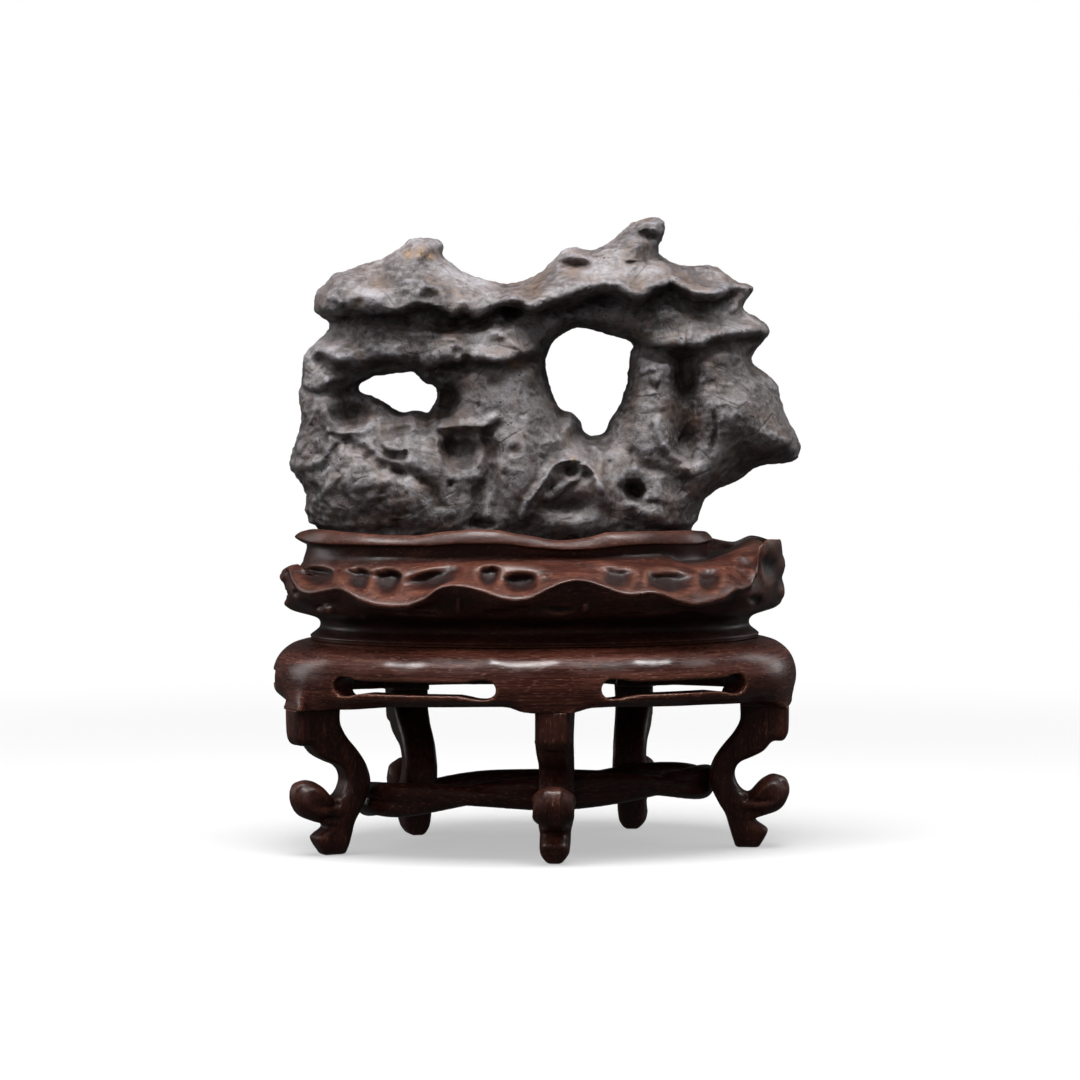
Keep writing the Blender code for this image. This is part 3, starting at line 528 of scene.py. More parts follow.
# front ledges: overhang, nose rounding, reach above the lip, undercut, reach below, taper at the ends, lip line
frontLedges = (
    (7.0, 6.0, 16.0, 11.0, 9.0, 7.0, (
        (-101, 238.5), (-97, 238.5), (-90, 238), (-85, 240), (-80, 239.5), (-65, 238.5), (-60, 239),
        (-55, 241), (-48, 241.5), (-45, 240), (-42, 238.5), (-39, 237.5), (-37, 237.4), (-34.5, 238.5),
        (-33, 239.5), (-30, 238), (-28.5, 237), (-26, 238), (-22, 240), (-18, 242), (-13, 243),
        (-8, 243), (-4, 243))),
    (9.0, 3.0, 13.0, 10.0, 11.0, 6.0, (
        (-18, 242.5), (-12, 242), (-8, 241.5), (-5, 240), (-2, 240), (1, 241), (5, 243), (9, 244), (14, 245.5),
        (20, 247), (26, 248), (31, 249), (36, 248), (41, 245.5),
        (45, 244), (48, 245), (50, 247), (53, 249), (58, 250.5), (61, 252),
        (63, 250), (66, 249), (70, 246), (75, 246), (80, 246.3), (84, 248), (88, 250), (91, 251.2),
        (100, 251.5))),
    (7.5, 3.0, 11.0, 8.0, 9.0, 5.0, (
        (-104, 220), (-97, 221), (-95, 219.5), (-91, 217), (-87, 215.3), (-84, 214.6), (-80, 214.5),
        (-77, 214.8), (-75, 215.5), (-70, 217.5), (-65, 218.3), (-62, 217.5), (-58, 216.5),
        (-55, 214.7), (-50, 214), (-46, 216.5), (-42, 217.5), (-38, 218), (-34, 217.8), (-31, 219))),
    (5.5, 2.0, 10.0, 7.0, 8.0, 5.0, (
        (-34, 221.5), (-32, 220.5), (-30, 218.5), (-27, 218), (-24, 218), (-20, 217), (-17, 216.8),
        (-13, 217.3), (-10, 219), (-6, 220), (0, 221), (4, 223))),
    (5.5, 2.5, 9.0, 7.0, 9.0, 5.0, (
        (41, 225), (45, 225), (48, 225.3), (52, 224.5), (60, 223.3), (66, 223.8), (68, 224.5),
        (70, 223.5), (74, 223.3), (78, 226), (84, 228), (90, 228.8), (96, 230), (106, 230.5))),
)
# hollows and swellings: across, up, half width, half height, rise
frontLumps = (
    (-70, 250, 28, 10, 4.0), (90, 195, 17, 13, 6.0), (107, 184, 13, 11, 6.0), (67, 180, 9, 12, -4.5), (-75, 164, 26, 19, 7.0),
    (-9, 169, 13, 22, 5.0), (54, 155, 13, 13, 4.0), (15, 143.5, 17, 9, 2.0),
    (-84, 195, 9, 8, -6.0), (-35, 178, 10, 10, -8.0), (-39, 201, 5, 8, -10.0),
    (44, 160.5, 6, 6, -5.0), (15, 153, 13, 7, -6.0), (31, 245, 10, 8, -7.0),
    (-13, 240, 7, 5, -2.0), (-56, 195, 6, 4, 4.0), (-64, 181, 5, 5, 3.0),
    (15, 191, 5, 8, 3.0), (67.5, 211, 6, 11, -8.0), (-81.5, 195, 11, 8.5, -4.0),
)
# ridges and grooves: half width, rise, line
frontLines = (
    (10.0, -9.0, ((66.5, 222), (67, 207), (67, 192), (68, 179), (70, 170))),
    (4.5, 5.0, ((-6, 146), (-2, 157), (4, 165), (9, 172), (17, 174), (24, 170.5), (27.5, 164), (30, 152))),
    (6.0, -6.0, ((-23, 187), (-21.5, 175), (-22, 165), (-27, 158), (-28, 144))),
    (4.0, -5.0, ((-88, 184), (-72, 172), (-50, 164), (-42, 150))),
    (3.5, -4.0, ((40, 179), (48, 171), (60, 167))),
    (4.0, -3.5, ((-62, 234.5), (-36, 233.5), (-10, 234.5))),
)
backLedges = (
    (7.0, 4.0, 14.0, 8.0, 8.0, 6.0, ((-100, 236), (-84, 235), (-70, 232), (-58, 234), (-45, 238),
                                (-33, 237), (-20, 235), (-10, 238), (2, 242))),
    (6.0, 3.0, 12.0, 9.0, 9.0, 6.0, ((2, 239), (14, 244), (25, 249), (36, 247), (48, 243), (60, 240),
                                (70, 239), (82, 243), (96, 246))),
    (6.0, 4.0, 10.0, 7.0, 9.0, 6.0, ((-106, 190), (-95, 189), (-84, 186), (-72, 183), (-60, 182),
                                (-48, 185), (-36, 188), (-25, 184), (-14, 180))),
    (5.0, 3.0, 10.0, 7.0, 8.0, 6.0, ((40, 196), (50, 191), (60, 188), (72, 187), (84, 184), (98, 187),
                                (112, 188))),
)
backLumps = (
    (-60, 160, 30, 16, 8.0), (20, 158, 18, 16, 7.0), (92, 206, 16, 14, 6.0),
    (-22, 205, 8, 14, -10.0), (-86, 206, 10, 8, -7.0), (64, 164, 9, 8, -11.0),
    (-20, 158, 7, 9, -10.0), (66, 214, 8, 10, -8.0), (-66, 250, 24, 9, 5.0),
    (38, 266, 12, 8, 4.0), (-84, 150, 7, 6, -6.0),
)
backLines = (
    (6.0, -8.0, ((0, 190), (-2, 170), (4, 150), (2, 138))),
    (5.0, -7.0, ((-44, 176), (-40, 158), (-46, 142))),
    (5.0, 5.0, ((24, 182), (40, 176), (50, 160), (52, 146))),
    (5.0, -6.0, ((80, 178), (72, 168), (60, 146))),
)

# small bowls on the front: across, up, half width, half height, turn in degrees, depth, raised rim
frontBowls = (
    (-71, 253, 12, 5.6, 0, 4.5, 0.6), (-61, 248, 9, 6, 20, 3.0, 0.5), (-47, 247, 6, 4, -20, 2.6, 0.5), (-79.5, 244, 3.6, 2.6, 0, 1.4, 0.3), (-92, 243.8, 4.2, 2.4, 0, 2.0, 0.6),
    (-72, 249, 2.0, 1.6, 0, -1.2, 0.0), (17.5, 261.2, 9.4, 3.0, -4, 7.0, 0.9), (15, 258, 5.5, 2.0, 0, 1.2, 0.0),
    (43, 261.8, 3.6, 1.2, 0, 2.2, 0.3), (49.5, 273.6, 7.4, 3.8, 5, 4.5, 0.7), (78, 254.5, 13.5, 5.6, -3, 5.0, 1.0),
    (76, 251.6, 3.6, 1.8, 0, 1.6, 0.2), (89, 241, 3.6, 3.2, 0, -2.6, 0.0), (-35.5, 221.8, 2.8, 3.0, 0, 3.2, 0.2),
    (-101, 222, 1.6, 1.6, 0, 1.6, 0.2), (-102, 204.5, 1.6, 1.6, 0, 1.6, 0.2), (-90, 210, 13, 4.5, -4, -2.4, 0.0),
    (-85.5, 205, 8, 4.6, 24, 3.2, 0.3), (-49, 211.6, 3.4, 2.4, 0, -3.4, 0.0), (-49, 208.6, 3.2, 1.3, 0, 3.0, 0.0),
    (-42, 211.6, 4.4, 1.6, 0, 3.4, 0.3), (-29.5, 213.6, 3.6, 1.3, 0, 2.4, 0.2), (-41.0, 199.0, 6.6, 11.0, -6, 10.5, 0.3),
    (-43, 192, 2.4, 3.4, 0, 2.8, 0.3), (-25.6, 197.7, 1.3, 2.3, 0, 3.2, 0.8), (-17, 209, 5.2, 4.6, 0, 1.8, 0.5),
    (-33, 176.5, 10.5, 11, -20, 4.0, 0.3), (-39.2, 179.8, 4.6, 6.6, -8, 5.0, 0.0), (-25, 144.6, 8.6, 3.0, 0, 8.0, 0.5),
    (-18, 153, 5, 11, 0, 3.0, 0.0), (-9, 178, 3.6, 3.4, 0, 1.8, 0.4), (-13.5, 167, 2.6, 2.6, 0, 1.6, 0.3),
    (-19.2, 183.8, 2.8, 3.6, 0, -2.6, 0.0), (-38, 162.8, 2.8, 2.4, 0, 2.0, 0.4), (-37.8, 161.8, 1.4, 1.4, 0, 2.0, 0.0),
    (-81.8, 194, 10.5, 7.8, 0, 3.6, 0.9), (-89.5, 178, 2.8, 4.2, 0, 2.6, 0.3), (-60.5, 186.5, 6.2, 3.0, 14, 2.6, 0.5),
    (-56, 196, 3.2, 2.6, 0, -2.2, 0.0), (-76.5, 174.2, 1.7, 1.5, 0, 1.6, 0.2), (-61.5, 167, 4.0, 4.5, 0, 2.6, 0.3),
    (-64, 149.6, 2.0, 1.8, 0, 1.3, 0.4), (-61, 149, 1.9, 1.7, 0, 1.3, 0.4), (-58.3, 150, 1.9, 1.7, 0, 1.3, 0.4),
    (-66, 141.5, 12, 3.6, 0, 3.2, 0.0), (15, 195, 3.0, 3.0, 0, -2.2, 0.0), (25.5, 182.2, 5.2, 2.4, -8, 4.0, 0.6),
    (-6, 163, 6, 12, -10, -1.6, 0.0), (15.5, 168.6, 4.6, 3.8, 0, 3.0, 0.7), (14, 170, 1.2, 1.2, 0, 1.2, 0.0),
    (23.5, 166.6, 3.0, 3.6, 0, 2.2, 0.5), (23.5, 167.5, 1.2, 1.2, 0, 1.2, 0.0), (26.5, 164, 1.2, 1.2, 0, 1.4, 0.0),
    (6, 161, 3.4, 5.0, -24, 2.4, 0.4), (14, 153.5, 13, 4.6, 4, 3.0, 0.0), (40.8, 161.4, 5.2, 4.0, 20, 2.4, 0.2),
    (44.6, 159.4, 5.2, 5.6, 10, 8.0, 0.3), (46.2, 157.2, 2.6, 3.0, 0, 4.0, 0.0), (42.5, 152.8, 5.6, 2.4, 0, -1.6, 0.0), (63, 162.5, 7.6, 8.6, 8, 3.4, 0.3),
    (67.5, 165.5, 3.0, 3.2, 0, 3.0, 0.2), (51, 149, 8.6, 4.2, 0, -2.6, 0.0), (54, 142.4, 6.6, 1.9, 0, 3.0, 0.0),
    (41.5, 142.8, 3.6, 1.3, 0, 3.2, 0.2), (51.6, 211.3, 1.2, 1.2, 0, 1.6, 0.6), (54, 209.6, 2.6, 2.4, 0, -1.4, 0.0),
    (52, 203.5, 2.2, 2.0, 0, -1.4, 0.0), (52.4, 199, 1.1, 1.1, 0, 1.6, 0.3), (34, 189.5, 2.2, 3.6, 0, 2.0, 0.3),
    (70.5, 175.5, 7.0, 7.0, 30, -2.6, 0.0), (57.7, 182.7, 0.9, 1.7, 0, 1.6, 0.2), (62, 181.5, 0.9, 1.7, 0, 1.6, 0.2),
    (72.7, 212.8, 1.4, 2.0, 0, 2.2, 0.6), (83, 194.4, 1.1, 1.1, 0, 1.6, 0.4), (83, 191, 2.1, 2.1, 0, -1.4, 0.0),
    (83, 197, 3.2, 1.3, 0, 1.3, 0.2), (77.5, 208, 2.6, 3.0, 0, 1.4, 0.2), (112, 182, 3.2, 3.2, 0, -2.2, 0.0),
    (85, 172.5, 1.4, 1.4, 0, 1.8, 0.3), (-5.9, 193.9, 1.1, 1.1, 0, 1.8, 0.3),
    (-6.8, 188.8, 1.1, 1.1, 0, 1.8, 0.3), (-5.6, 184.3, 1.1, 1.1, 0, 1.8, 0.3), (-16.5, 183.5, 1.1, 1.1, 0, 1.8, 0.3),
    (-9.6, 166.3, 1.1, 1.1, 0, 1.8, 0.3), (-30.9, 178.6, 1.1, 1.1, 0, 1.8, 0.3), (-0.5, 172.5, 1.1, 1.1, 0, 1.8, 0.3),
    (3.5, 179.5, 1.1, 1.1, 0, 1.8, 0.3), (2.5, 175, 1.1, 1.1, 0, 1.8, 0.3), (33.5, 173, 1.4, 1.4, 0, 2.2, 0.3),
    (34, 165, 1.1, 1.1, 0, 1.8, 0.3), (29, 168.7, 1.1, 1.1, 0, 1.6, 0.3), (38.5, 156, 1.1, 1.1, 0, 1.8, 0.3),
)
# crisp ridges and cracks on the front: half width, rise, line
frontCreases = (
    (1.8, 1.3, ((-76, 260), (-72, 261.5), (-66, 260.8), (-60, 260), (-57, 259.5))),
    (1.5, -1.8, ((-23, 250.8), (-18, 250.6), (-12, 250.3))),
    (2.0, 1.5, ((-34, 253.8), (-32, 253.5), (-24, 250), (-18, 248.5), (-14, 248.8), (-8, 250))),
    (1.5, 1.3, ((44, 277), (46, 277.5), (50, 277.3), (54, 276), (57, 275.5))),
    (1.4, 1.0, ((43, 273), (47, 272), (52, 271), (53.5, 269.5))),
    (0.9, -1.3, ((48, 266), (49, 264), (51, 261))),
    (1.8, 1.8, ((-43, 228), (-42, 228), (-36, 227.5), (-33, 225), (-32, 222.5), (-32, 220))),
    (2.0, 1.4, ((-22, 232), (-15, 229), (-10, 225.5), (-5, 222), (-3, 220))),
    (2.2, -3.0, ((-52, 215.2), (-40, 215.4), (-28, 215.8), (-16, 215.8))),
    (1.0, -1.6, ((-36.2, 213), (-35.5, 211), (-35, 209))),
    (0.8, -0.9, ((-33.8, 214), (-33.6, 209), (-34, 205))),
    (0.8, -0.9, ((-32, 213), (-31.8, 208), (-32.2, 204))),
    (0.8, -0.9, ((-30.2, 212), (-30, 207), (-30.4, 203))),
    (0.9, -1.4, ((-39, 190), (-38, 190.5), (-36, 192), (-35, 192.6))),
    (1.4, 2.2, ((-45.5, 209), (-45, 208), (-44, 203), (-45, 197), (-48, 193))),
    (1.6, 1.2, ((-25.4, 187), (-25, 185), (-23.8, 180), (-23.8, 176), (-25, 172), (-29, 169), (-34, 167.6))),
    (1.6, 1.4, ((-45.4, 186), (-45, 185), (-44, 180), (-43.5, 175), (-42, 171))),
    (1.8, 1.7, ((-95, 198), (-95, 191), (-93, 187), (-90, 185.3), (-86, 185.5), (-82, 186.5),
                (-78, 186), (-76, 188), (-74.5, 191))),
    (1.3, -1.8, ((-71.5, 196), (-71.5, 184))),
    (1.7, 1.4, ((-98, 198), (-100, 193), (-102, 190), (-104, 186), (-108, 182))),
    (2.0, 1.9, ((-94.6, 188), (-93.5, 186), (-92, 183), (-91.5, 181), (-93, 178), (-95, 175),
                (-97, 172.5), (-102, 171.3))),
    (1.6, -1.8, ((-92, 173), (-98, 167))),
    (2.0, 1.7, ((-87.5, 178), (-87.5, 173), (-88, 170), (-87, 168), (-90, 163.5), (-93, 161),
                (-96, 158.5), (-101, 155))),
    (1.5, 1.4, ((15, 194), (15, 193), (15.5, 189), (18, 186))),
    (2.4, 2.2, ((19, 186), (20, 185), (25, 180), (28, 178), (30, 173), (28.6, 165), (30, 157))),
    (1.9, 2.2, ((-7, 145), (-6, 150), (-4.5, 154), (-2, 157), (1, 160), (4, 165), (6, 169), (9, 172),
                (12, 173.2), (15, 173.5), (17, 174), (19.5, 173.3), (22, 171.8), (24, 170.5),
                (26, 167.5), (27.5, 164), (28.7, 159))),
    (1.2, 1.2, ((11.4, 168), (12, 167), (14, 165), (17, 164), (19.5, 165.5), (20, 169))),
    (0.9, -1.5, ((30.5, 176), (31, 175), (33.5, 173), (35, 169), (34, 165))),
    (1.3, 1.2, ((49, 166), (60.5, 166))),
    (1.1, -1.5, ((49, 154.4), (60, 153.8), (66, 153.4))),
    (1.5, 1.5, ((44.5, 213.6), (48, 213), (50, 214), (52.5, 214.5), (54.4, 213.2))),
    (0.8, -1.1, ((55, 207.5), (54.2, 203), (54.2, 197.5))),
    (0.9, -1.5, ((67, 223.6), (67.5, 228), (68, 232.4))),
    (1.4, 1.1, ((69.5, 232.3), (75, 234), (80.5, 235.4))),
    (0.9, -1.4, ((69.5, 217.9), (76, 219), (80, 217), (82, 215.5), (86.5, 216))),
    (2.3, 3.4, ((54.4, 193), (55, 188), (55.5, 184), (57, 181), (59, 179), (61, 175), (63, 174.2),
                (66, 173), (68, 171), (69.5, 168.5), (71.4, 165.5))),
    (1.7, -2.6, ((80, 197), (80.5, 193), (81, 188), (80.5, 184), (79.8, 181), (79, 175.5))),
)
# low steps on the front, written as the ledges are
frontSteps = (
    (2.2, 1.5, 4.5, 3.6, 5.0, 3.0, ((-46, 186.6), (-45, 187), (-35, 187), (-31, 187.7), (-27, 187.5),
                               (-24.3, 187.3), (-22, 188), (-19, 190), (-15.5, 192))),
    (2.6, 1.5, 5.0, 3.4, 4.5, 4.0, ((-106, 207.4), (-104, 207), (-102, 205.5), (-97, 204.5), (-93, 206.5),
                               (-90, 208.5), (-87, 209.5), (-84, 211), (-80, 212), (-75, 212.2))),
    (2.4, 1.0, 5.0, 2.4, 4.0, 2.5, ((-69.7, 184), (-69.5, 182.7), (-69, 180), (-67.5, 178.5), (-66, 177.3),
                               (-64, 177), (-61, 176), (-59.8, 175.3), (-58.5, 177.4), (-56.5, 176))),
    (1.4, 1.0, 3.5, 1.6, 3.0, 3.0, ((7, 239.7), (8, 240), (15, 241.5), (20, 243.5), (25, 245.5), (31, 246.4))),
    (1.8, 1.0, 3.5, 2.0, 4.0, 2.5, ((2, 155.6), (3, 155.8), (7, 156.3), (9.5, 157.8), (12, 160.5),
                               (15, 162), (19, 164.4))),
)
backBowls = (
    (-78, 247, 6, 4, 10, 2.6, 0.6), (-52, 221, 7, 4, -12, 2.8, 0.6), (-88, 222, 5, 4, 0, 2.4, 0.5),
    (-66, 203, 5, 3, 20, 2.0, 0.5), (-97, 200, 4, 5, 0, 2.2, 0.4), (-70, 172, 6, 5, 30, 3.0, 0.7),
    (-52, 150, 5, 4, 0, 2.6, 0.6), (-92, 166, 5, 6, 0, 2.4, 0.5), (-30, 226, 6, 4, 8, 2.4, 0.5),
    (-12, 228, 5, 4, -10, 2.2, 0.5), (-8, 212, 4, 5, 0, 2.2, 0.4), (8, 176, 5, 6, 0, 2.6, 0.7),
    (28, 168, 4, 4, 0, 2.0, 0.6), (18, 150, 6, 4, 10, 2.8, 0.5), (46, 210, 3, 5, 0, 2.0, 0.4),
    (52, 232, 7, 4, 0, 2.6, 0.6), (80, 231, 6, 4, 12, 2.4, 0.5), (90, 218, 4, 3, 0, 2.0, 0.4),
    (100, 200, 5, 4, 0, 2.4, 0.6), (84, 200, 4, 4, 0, 2.0, 0.5), (98, 180, 5, 3, 0, 2.4, 0.4),
    (46, 158, 5, 6, 0, 2.8, 0.5), (60, 150, 4, 4, 0, 2.2, 0.4), (30, 258, 7, 4, 0, 2.6, 0.6),
    (62, 252, 6, 3, 0, 2.2, 0.5), (48, 274, 5, 3, 20, 2.2, 0.4), (-34, 152, 1.6, 1.6, 0, 2.2, 0.4),
    (-10, 194, 1.6, 1.6, 0, 2.2, 0.4), (40, 222, 1.5, 1.5, 0, 2.0, 0.4), (74, 192, 1.6, 1.6, 0, 2.2, 0.4),
)
backCreases = (
    (1.8, 1.6, ((-96, 226), (-84, 224), (-72, 226), (-60, 224))),
    (1.6, 1.6, ((-46, 212), (-36, 214), (-26, 220), (-12, 222))),
    (1.4, -1.8, ((-62, 246), (-52, 240), (-40, 246))), (1.8, 1.8, ((-100, 180), (-90, 172), (-82, 160))),
    (1.6, 1.6, ((-60, 176), (-52, 168), (-54, 156))), (1.2, -1.6, ((-70, 156), (-62, 148), (-64, 140))),
    (1.8, 1.8, ((10, 190), (18, 178), (14, 164), (22, 150))), (1.4, -1.6, ((34, 184), (32, 172), (36, 162))),
    (1.8, 1.6, ((54, 222), (62, 214), (60, 202), (66, 194))), (1.6, 1.6, ((88, 214), (96, 206), (104, 204))),
    (1.4, -1.6, ((6, 252), (18, 256), (30, 254))), (1.6, 1.4, ((40, 262), (52, 258), (64, 256), (76, 254))),
)
# rusty stains and ochre clay on the front: across, up, radius
rustStains = (
    (-79.5, 244, 4.0), (-45, 265, 3.0), (-38.5, 230, 4.0), (-101, 202, 2.5), (-49, 213.5, 3.0),
    (-51.5, 161.5, 5.0), (70, 159.5, 4.5), (72.5, 191.5, 4.5), (78, 217, 5.0), 
    (29, 170, 6.0), (17, 259, 6.0), (-70, 253, 6.0), (46, 252, 6.0), (-30, 209, 6.0), (60, 196, 7.0),
)
clayMarks = (
    (-57, 265.5, 3.0), (-52, 266.5, 3.4), (-47, 265, 2.4), (-77, 214.6, 1.6), (-10, 216.6, 3.2),
    (17, 174, 1.6), (-27, 187.5, 1.5),
)


def rimDistance(points):
    best = np.full(len(points), 1e9)
    for loop in (stoneOutline, wideWindow, smallWindow):
        best = np.minimum(best, alongLine(points, loop + loop[:1])[0])
    return best


def ledgeRelief(points, ledges, edge=0.9):
    # a shelf that runs out to its lip and is undercut below it
    total = np.zeros(len(points))
    for hang, nose, above, sink, below, taper, lip in ledges:
        distance, side, run, length = alongLine(points, lip)
        fade = softStep(run / taper) * softStep((length - run) / taper)
        over = hang * (1.0 - softStep((distance - nose * 0.6) / above))
        over -= 0.35 * hang * np.clip(1.0 - distance / nose, 0.0, 1.0) ** 2
        under = -sink * (1.0 - softStep(distance / below))
        top = softStep(side * distance / (2.0 * edge) + 0.5)
        total += fade * (top * over + (1.0 - top) * under)
    return total


def lumpRelief(points, lumps):
    total = np.zeros(len(points))
    for across, up, halfAcross, halfUp, rise in lumps:
        reach = np.hypot((points[:, 0] - across) / halfAcross, (points[:, 1] - up) / halfUp)
        total += rise * (1.0 - softStep(reach / 1.25))
    return total


def lineRelief(points, lines, taper=3.0):
    total = np.zeros(len(points))
    for halfWidth, rise, line in lines:
        distance, _side, run, length = alongLine(points, line)
        fade = softStep((run + 0.3) / taper) * softStep((length - run + 0.3) / taper)
        total += rise * (1.0 - softStep(distance / halfWidth)) * fade
    return total


def bowlRelief(points, bowls):
    total = np.zeros(len(points))
    for across, up, halfAcross, halfUp, turn, depth, rim in bowls:
        turnCos, turnSin = math.cos(math.radians(turn)), math.sin(math.radians(turn))
        right, rise = points[:, 0] - across, points[:, 1] - up
        reach = np.hypot((right * turnCos + rise * turnSin) / halfAcross,
                         (rise * turnCos - right * turnSin) / halfUp)
        total -= depth * (1.0 - softStep((reach - 0.15) / 0.95))
        if rim:
            total += rim * np.exp(-((reach - 1.05) / 0.22) ** 2)
    return total


def stoneBulge(across, up, shape):
    halfDepth, byHeight, byLength, middle = shape
    return halfDepth - byHeight * (up - stone["floor"]) - byLength * (across - middle) ** 2


def shapeStone(slab):
    # the slab's two faces are pulled to the front and back of the stone
    face = slab[:, :2]
    share = np.clip(slab[:, 2] / stone["halfSlab"], -1.0, 1.0)
    rim = rimDistance(face)
    swell = np.clip(rim / stone["rounding"], 0.0, 1.0)
    swell = (1.0 - (1.0 - swell) ** stone["roundingPower"]) ** (1.0 / stone["roundingPower"])
    settle = np.clip(rim / stone["edgeCalm"], 0.0, 1.0)
    across, up = face.T
    eye = view["eye"][2]
    spread = (face - (0.0, eye)) * stone["spread"] + (0.0, eye)
    frontRelief = (ledgeRelief(spread, frontLedges) + lumpRelief(spread, frontLumps)
                   + lineRelief(spread, frontLines))
    backRelief = (ledgeRelief(face, backLedges) + lumpRelief(face, backLumps)
                  + lineRelief(face, backLines))
    front = stone["edgeDepth"] + stoneBulge(across, up, stone["frontBulge"]) * swell + settle * frontRelief
    back = stone["edgeDepth"] + stoneBulge(across, up, stone["backBulge"]) * swell + settle * backRelief
    front = np.maximum(front, 0.5)
    back = np.maximum(back, 0.5)
    depth = -np.where(share > 0, share * front, share * back)
    along = (across + stone["shift"] + math.sin(view["turn"]) * depth) / math.cos(view["turn"])
    return np.column_stack((along, depth, up))


def detailStone(mesh):
    # the small ledges, bowls, creases and pits, pressed in from the front and from behind
    points = readPoints(mesh)
    normals = averaged(readNormals(mesh), edgeArrays(mesh), 2)
    towards = np.array((-math.sin(view["turn"]), -math.cos(view["turn"]), 0.0))
    facing = normals @ towards
    seen, _away = frontView(points)
    frontRise = (bowlRelief(seen, frontBowls) + lineRelief(seen, frontCreases, 2.0)
                 + ledgeRelief(seen, frontSteps, 0.7))
    behind = points[:, [0, 2]]
    backRise = bowlRelief(behind, backBowls) + lineRelief(behind, backCreases, 2.0)
    frontShare = softStep(facing * 2.0)
    backShare = softStep(-facing * 2.0)
    rise = frontShare * frontRise + backShare * backRise
    direction = np.where(facing[:, None] > 0, towards, -towards)
    points += direction * rise[:, None]
    writePoints(mesh, points)


def roughenStone(mesh):
    # beds, knobs and fine unevenness; the lower left is chipped in small facets
    points = readPoints(mesh)
    normals = readNormals(mesh)
    seen, _away = frontView(points)
    rise = 1.1 * noiseAt(points, (26.0, 22.0, 11.0))
    rise += 1.2 * (0.30 - np.abs(noiseAt(points, (13.0, 13.0, 9.0), 3.7)))
    rise += 0.8 * (0.25 - np.abs(noiseAt(points, (6.4, 6.4, 4.6), 8.1)))
    rise += 0.34 * noiseAt(points, (2.6, 2.6, 2.0), 14.9)
    chipped = softStep((-44.0 - seen[:, 0]) / 12.0) * softStep((188.0 - seen[:, 1]) / 12.0)
    facets = np.array([noise.voronoi(place / 5.5)[0][0] if share > 0.02 else 0.0
                       for place, share in zip(points, chipped)])
    rise += chipped * 1.8 * (0.45 - facets)
    points += normals * rise[:, None]
    writePoints(mesh, points)


def bedStone(points):
    # the foot is drawn inside the socket's oval and stands flat on its floor
    length, depth, centre = 85.0, 46.5, -14.0
    reach = np.hypot((points[:, 0] - centre) / length, points[:, 1] / depth)
    low = softStep((146.0 - points[:, 2]) / 4.0)
    squeeze = np.where(reach > 1.0, 1.0 + low * (1.0 / np.maximum(reach, 1.0) - 1.0), 1.0)
    points[:, 0] = centre + (points[:, 0] - centre) * squeeze
    points[:, 1] *= squeeze
    points[:, 2] = np.clip(points[:, 2], stone["floor"], stone["ceiling"])
    return points


def spotMask(seen, spots):
    mask = np.zeros(len(seen))
    for across, up, radius in spots:
        reach = np.hypot(seen[:, 0] - across, seen[:, 1] - up) / radius
        mask = np.maximum(mask, 1.0 - softStep(reach / 1.3))
    return mask


def makeStone():
    rock = flatCurve("rockStone", [stoneOutline, wideWindow, smallWindow], stone["halfSlab"])
    rock = remeshPiece(rock, stone["coarse"])
    writePoints(rock.data, shapeStone(rawPoints(rock.data)))
    rock = remeshPiece(rock, stone["middling"], 1, 0.3)
    detailStone(rock.data)
    rock = remeshPiece(rock, stone["fine"], 1, 0.3)
    roughenStone(rock.data)
    thin = rock.modifiers.new("thin", "DECIMATE")
    thin.ratio = min(1.0, stone["mostTriangles"] / (2.0 * len(rock.data.polygons)))
    rock = bakePiece(rock)
    writePoints(rock.data, bedStone(readPoints(rock.data)))
    mesh = rock.data
    seen, _away = frontView(readPoints(mesh))
    facing = readNormals(mesh) @ np.array((0.0, -1.0, 0.0))
    small, broad = hollowness(mesh, 4), hollowness(mesh, 40)
    # hollows painted darker as painted shade; ridges painted lighter as rubbed wear and partly as a painted highlight
    storeValue(mesh, "hollow", np.clip(small * 1.4 + broad * 0.22, 0.0, 1.0))
    storeValue(mesh, "wearAndHighlight", np.clip(-small * 2.4 - broad * 0.12 - 0.06, 0.0, 1.0))
    storeValue(mesh, "stain", spotMask(seen, rustStains) * (facing > 0))
    storeValue(mesh, "clay", spotMask(seen, clayMarks) * (facing > 0))
    finishPiece(rock, makeStoneMaterial(), "rock")
    print("stone", len(mesh.vertices))
    return rock


makeStone()

# ---- stand, drawn round one oval

oval = {"halfLength": 118.4, "halfDepth": 88.0}


def onOval(angles, inset):
    across = np.cos(angles) / oval["halfLength"]
    along = np.sin(angles) / oval["halfDepth"]
    size = np.hypot(across, along)
    x = oval["halfLength"] * np.cos(angles) - inset * across / size
    y = oval["halfDepth"] * np.sin(angles) - inset * along / size
    return x, y


def roundTrip(knots, angles):
    # smooth values round the oval from knots of degrees and value
    places = np.array([knot[0] for knot in knots], dtype=float)
    values = np.array([knot[1] for knot in knots], dtype=float)
    places = np.concatenate((places[-1:] - 360.0, places, places[:1] + 360.0))
    values = np.concatenate((values[-1:], values, values[:1]))
    turn = (np.degrees(angles) + 180.0) % 360.0 - 180.0
    index = np.clip(np.searchsorted(places, turn) - 1, 0, len(places) - 2)
    share = (turn - places[index]) / (places[index + 1] - places[index])
    ease = share * share * (3.0 - 2.0 * share)
    return values[index] + (values[index + 1] - values[index]) * ease


def turnOffset(angles, centre):
    return (np.degrees(angles) - centre + 180.0) % 360.0 - 180.0


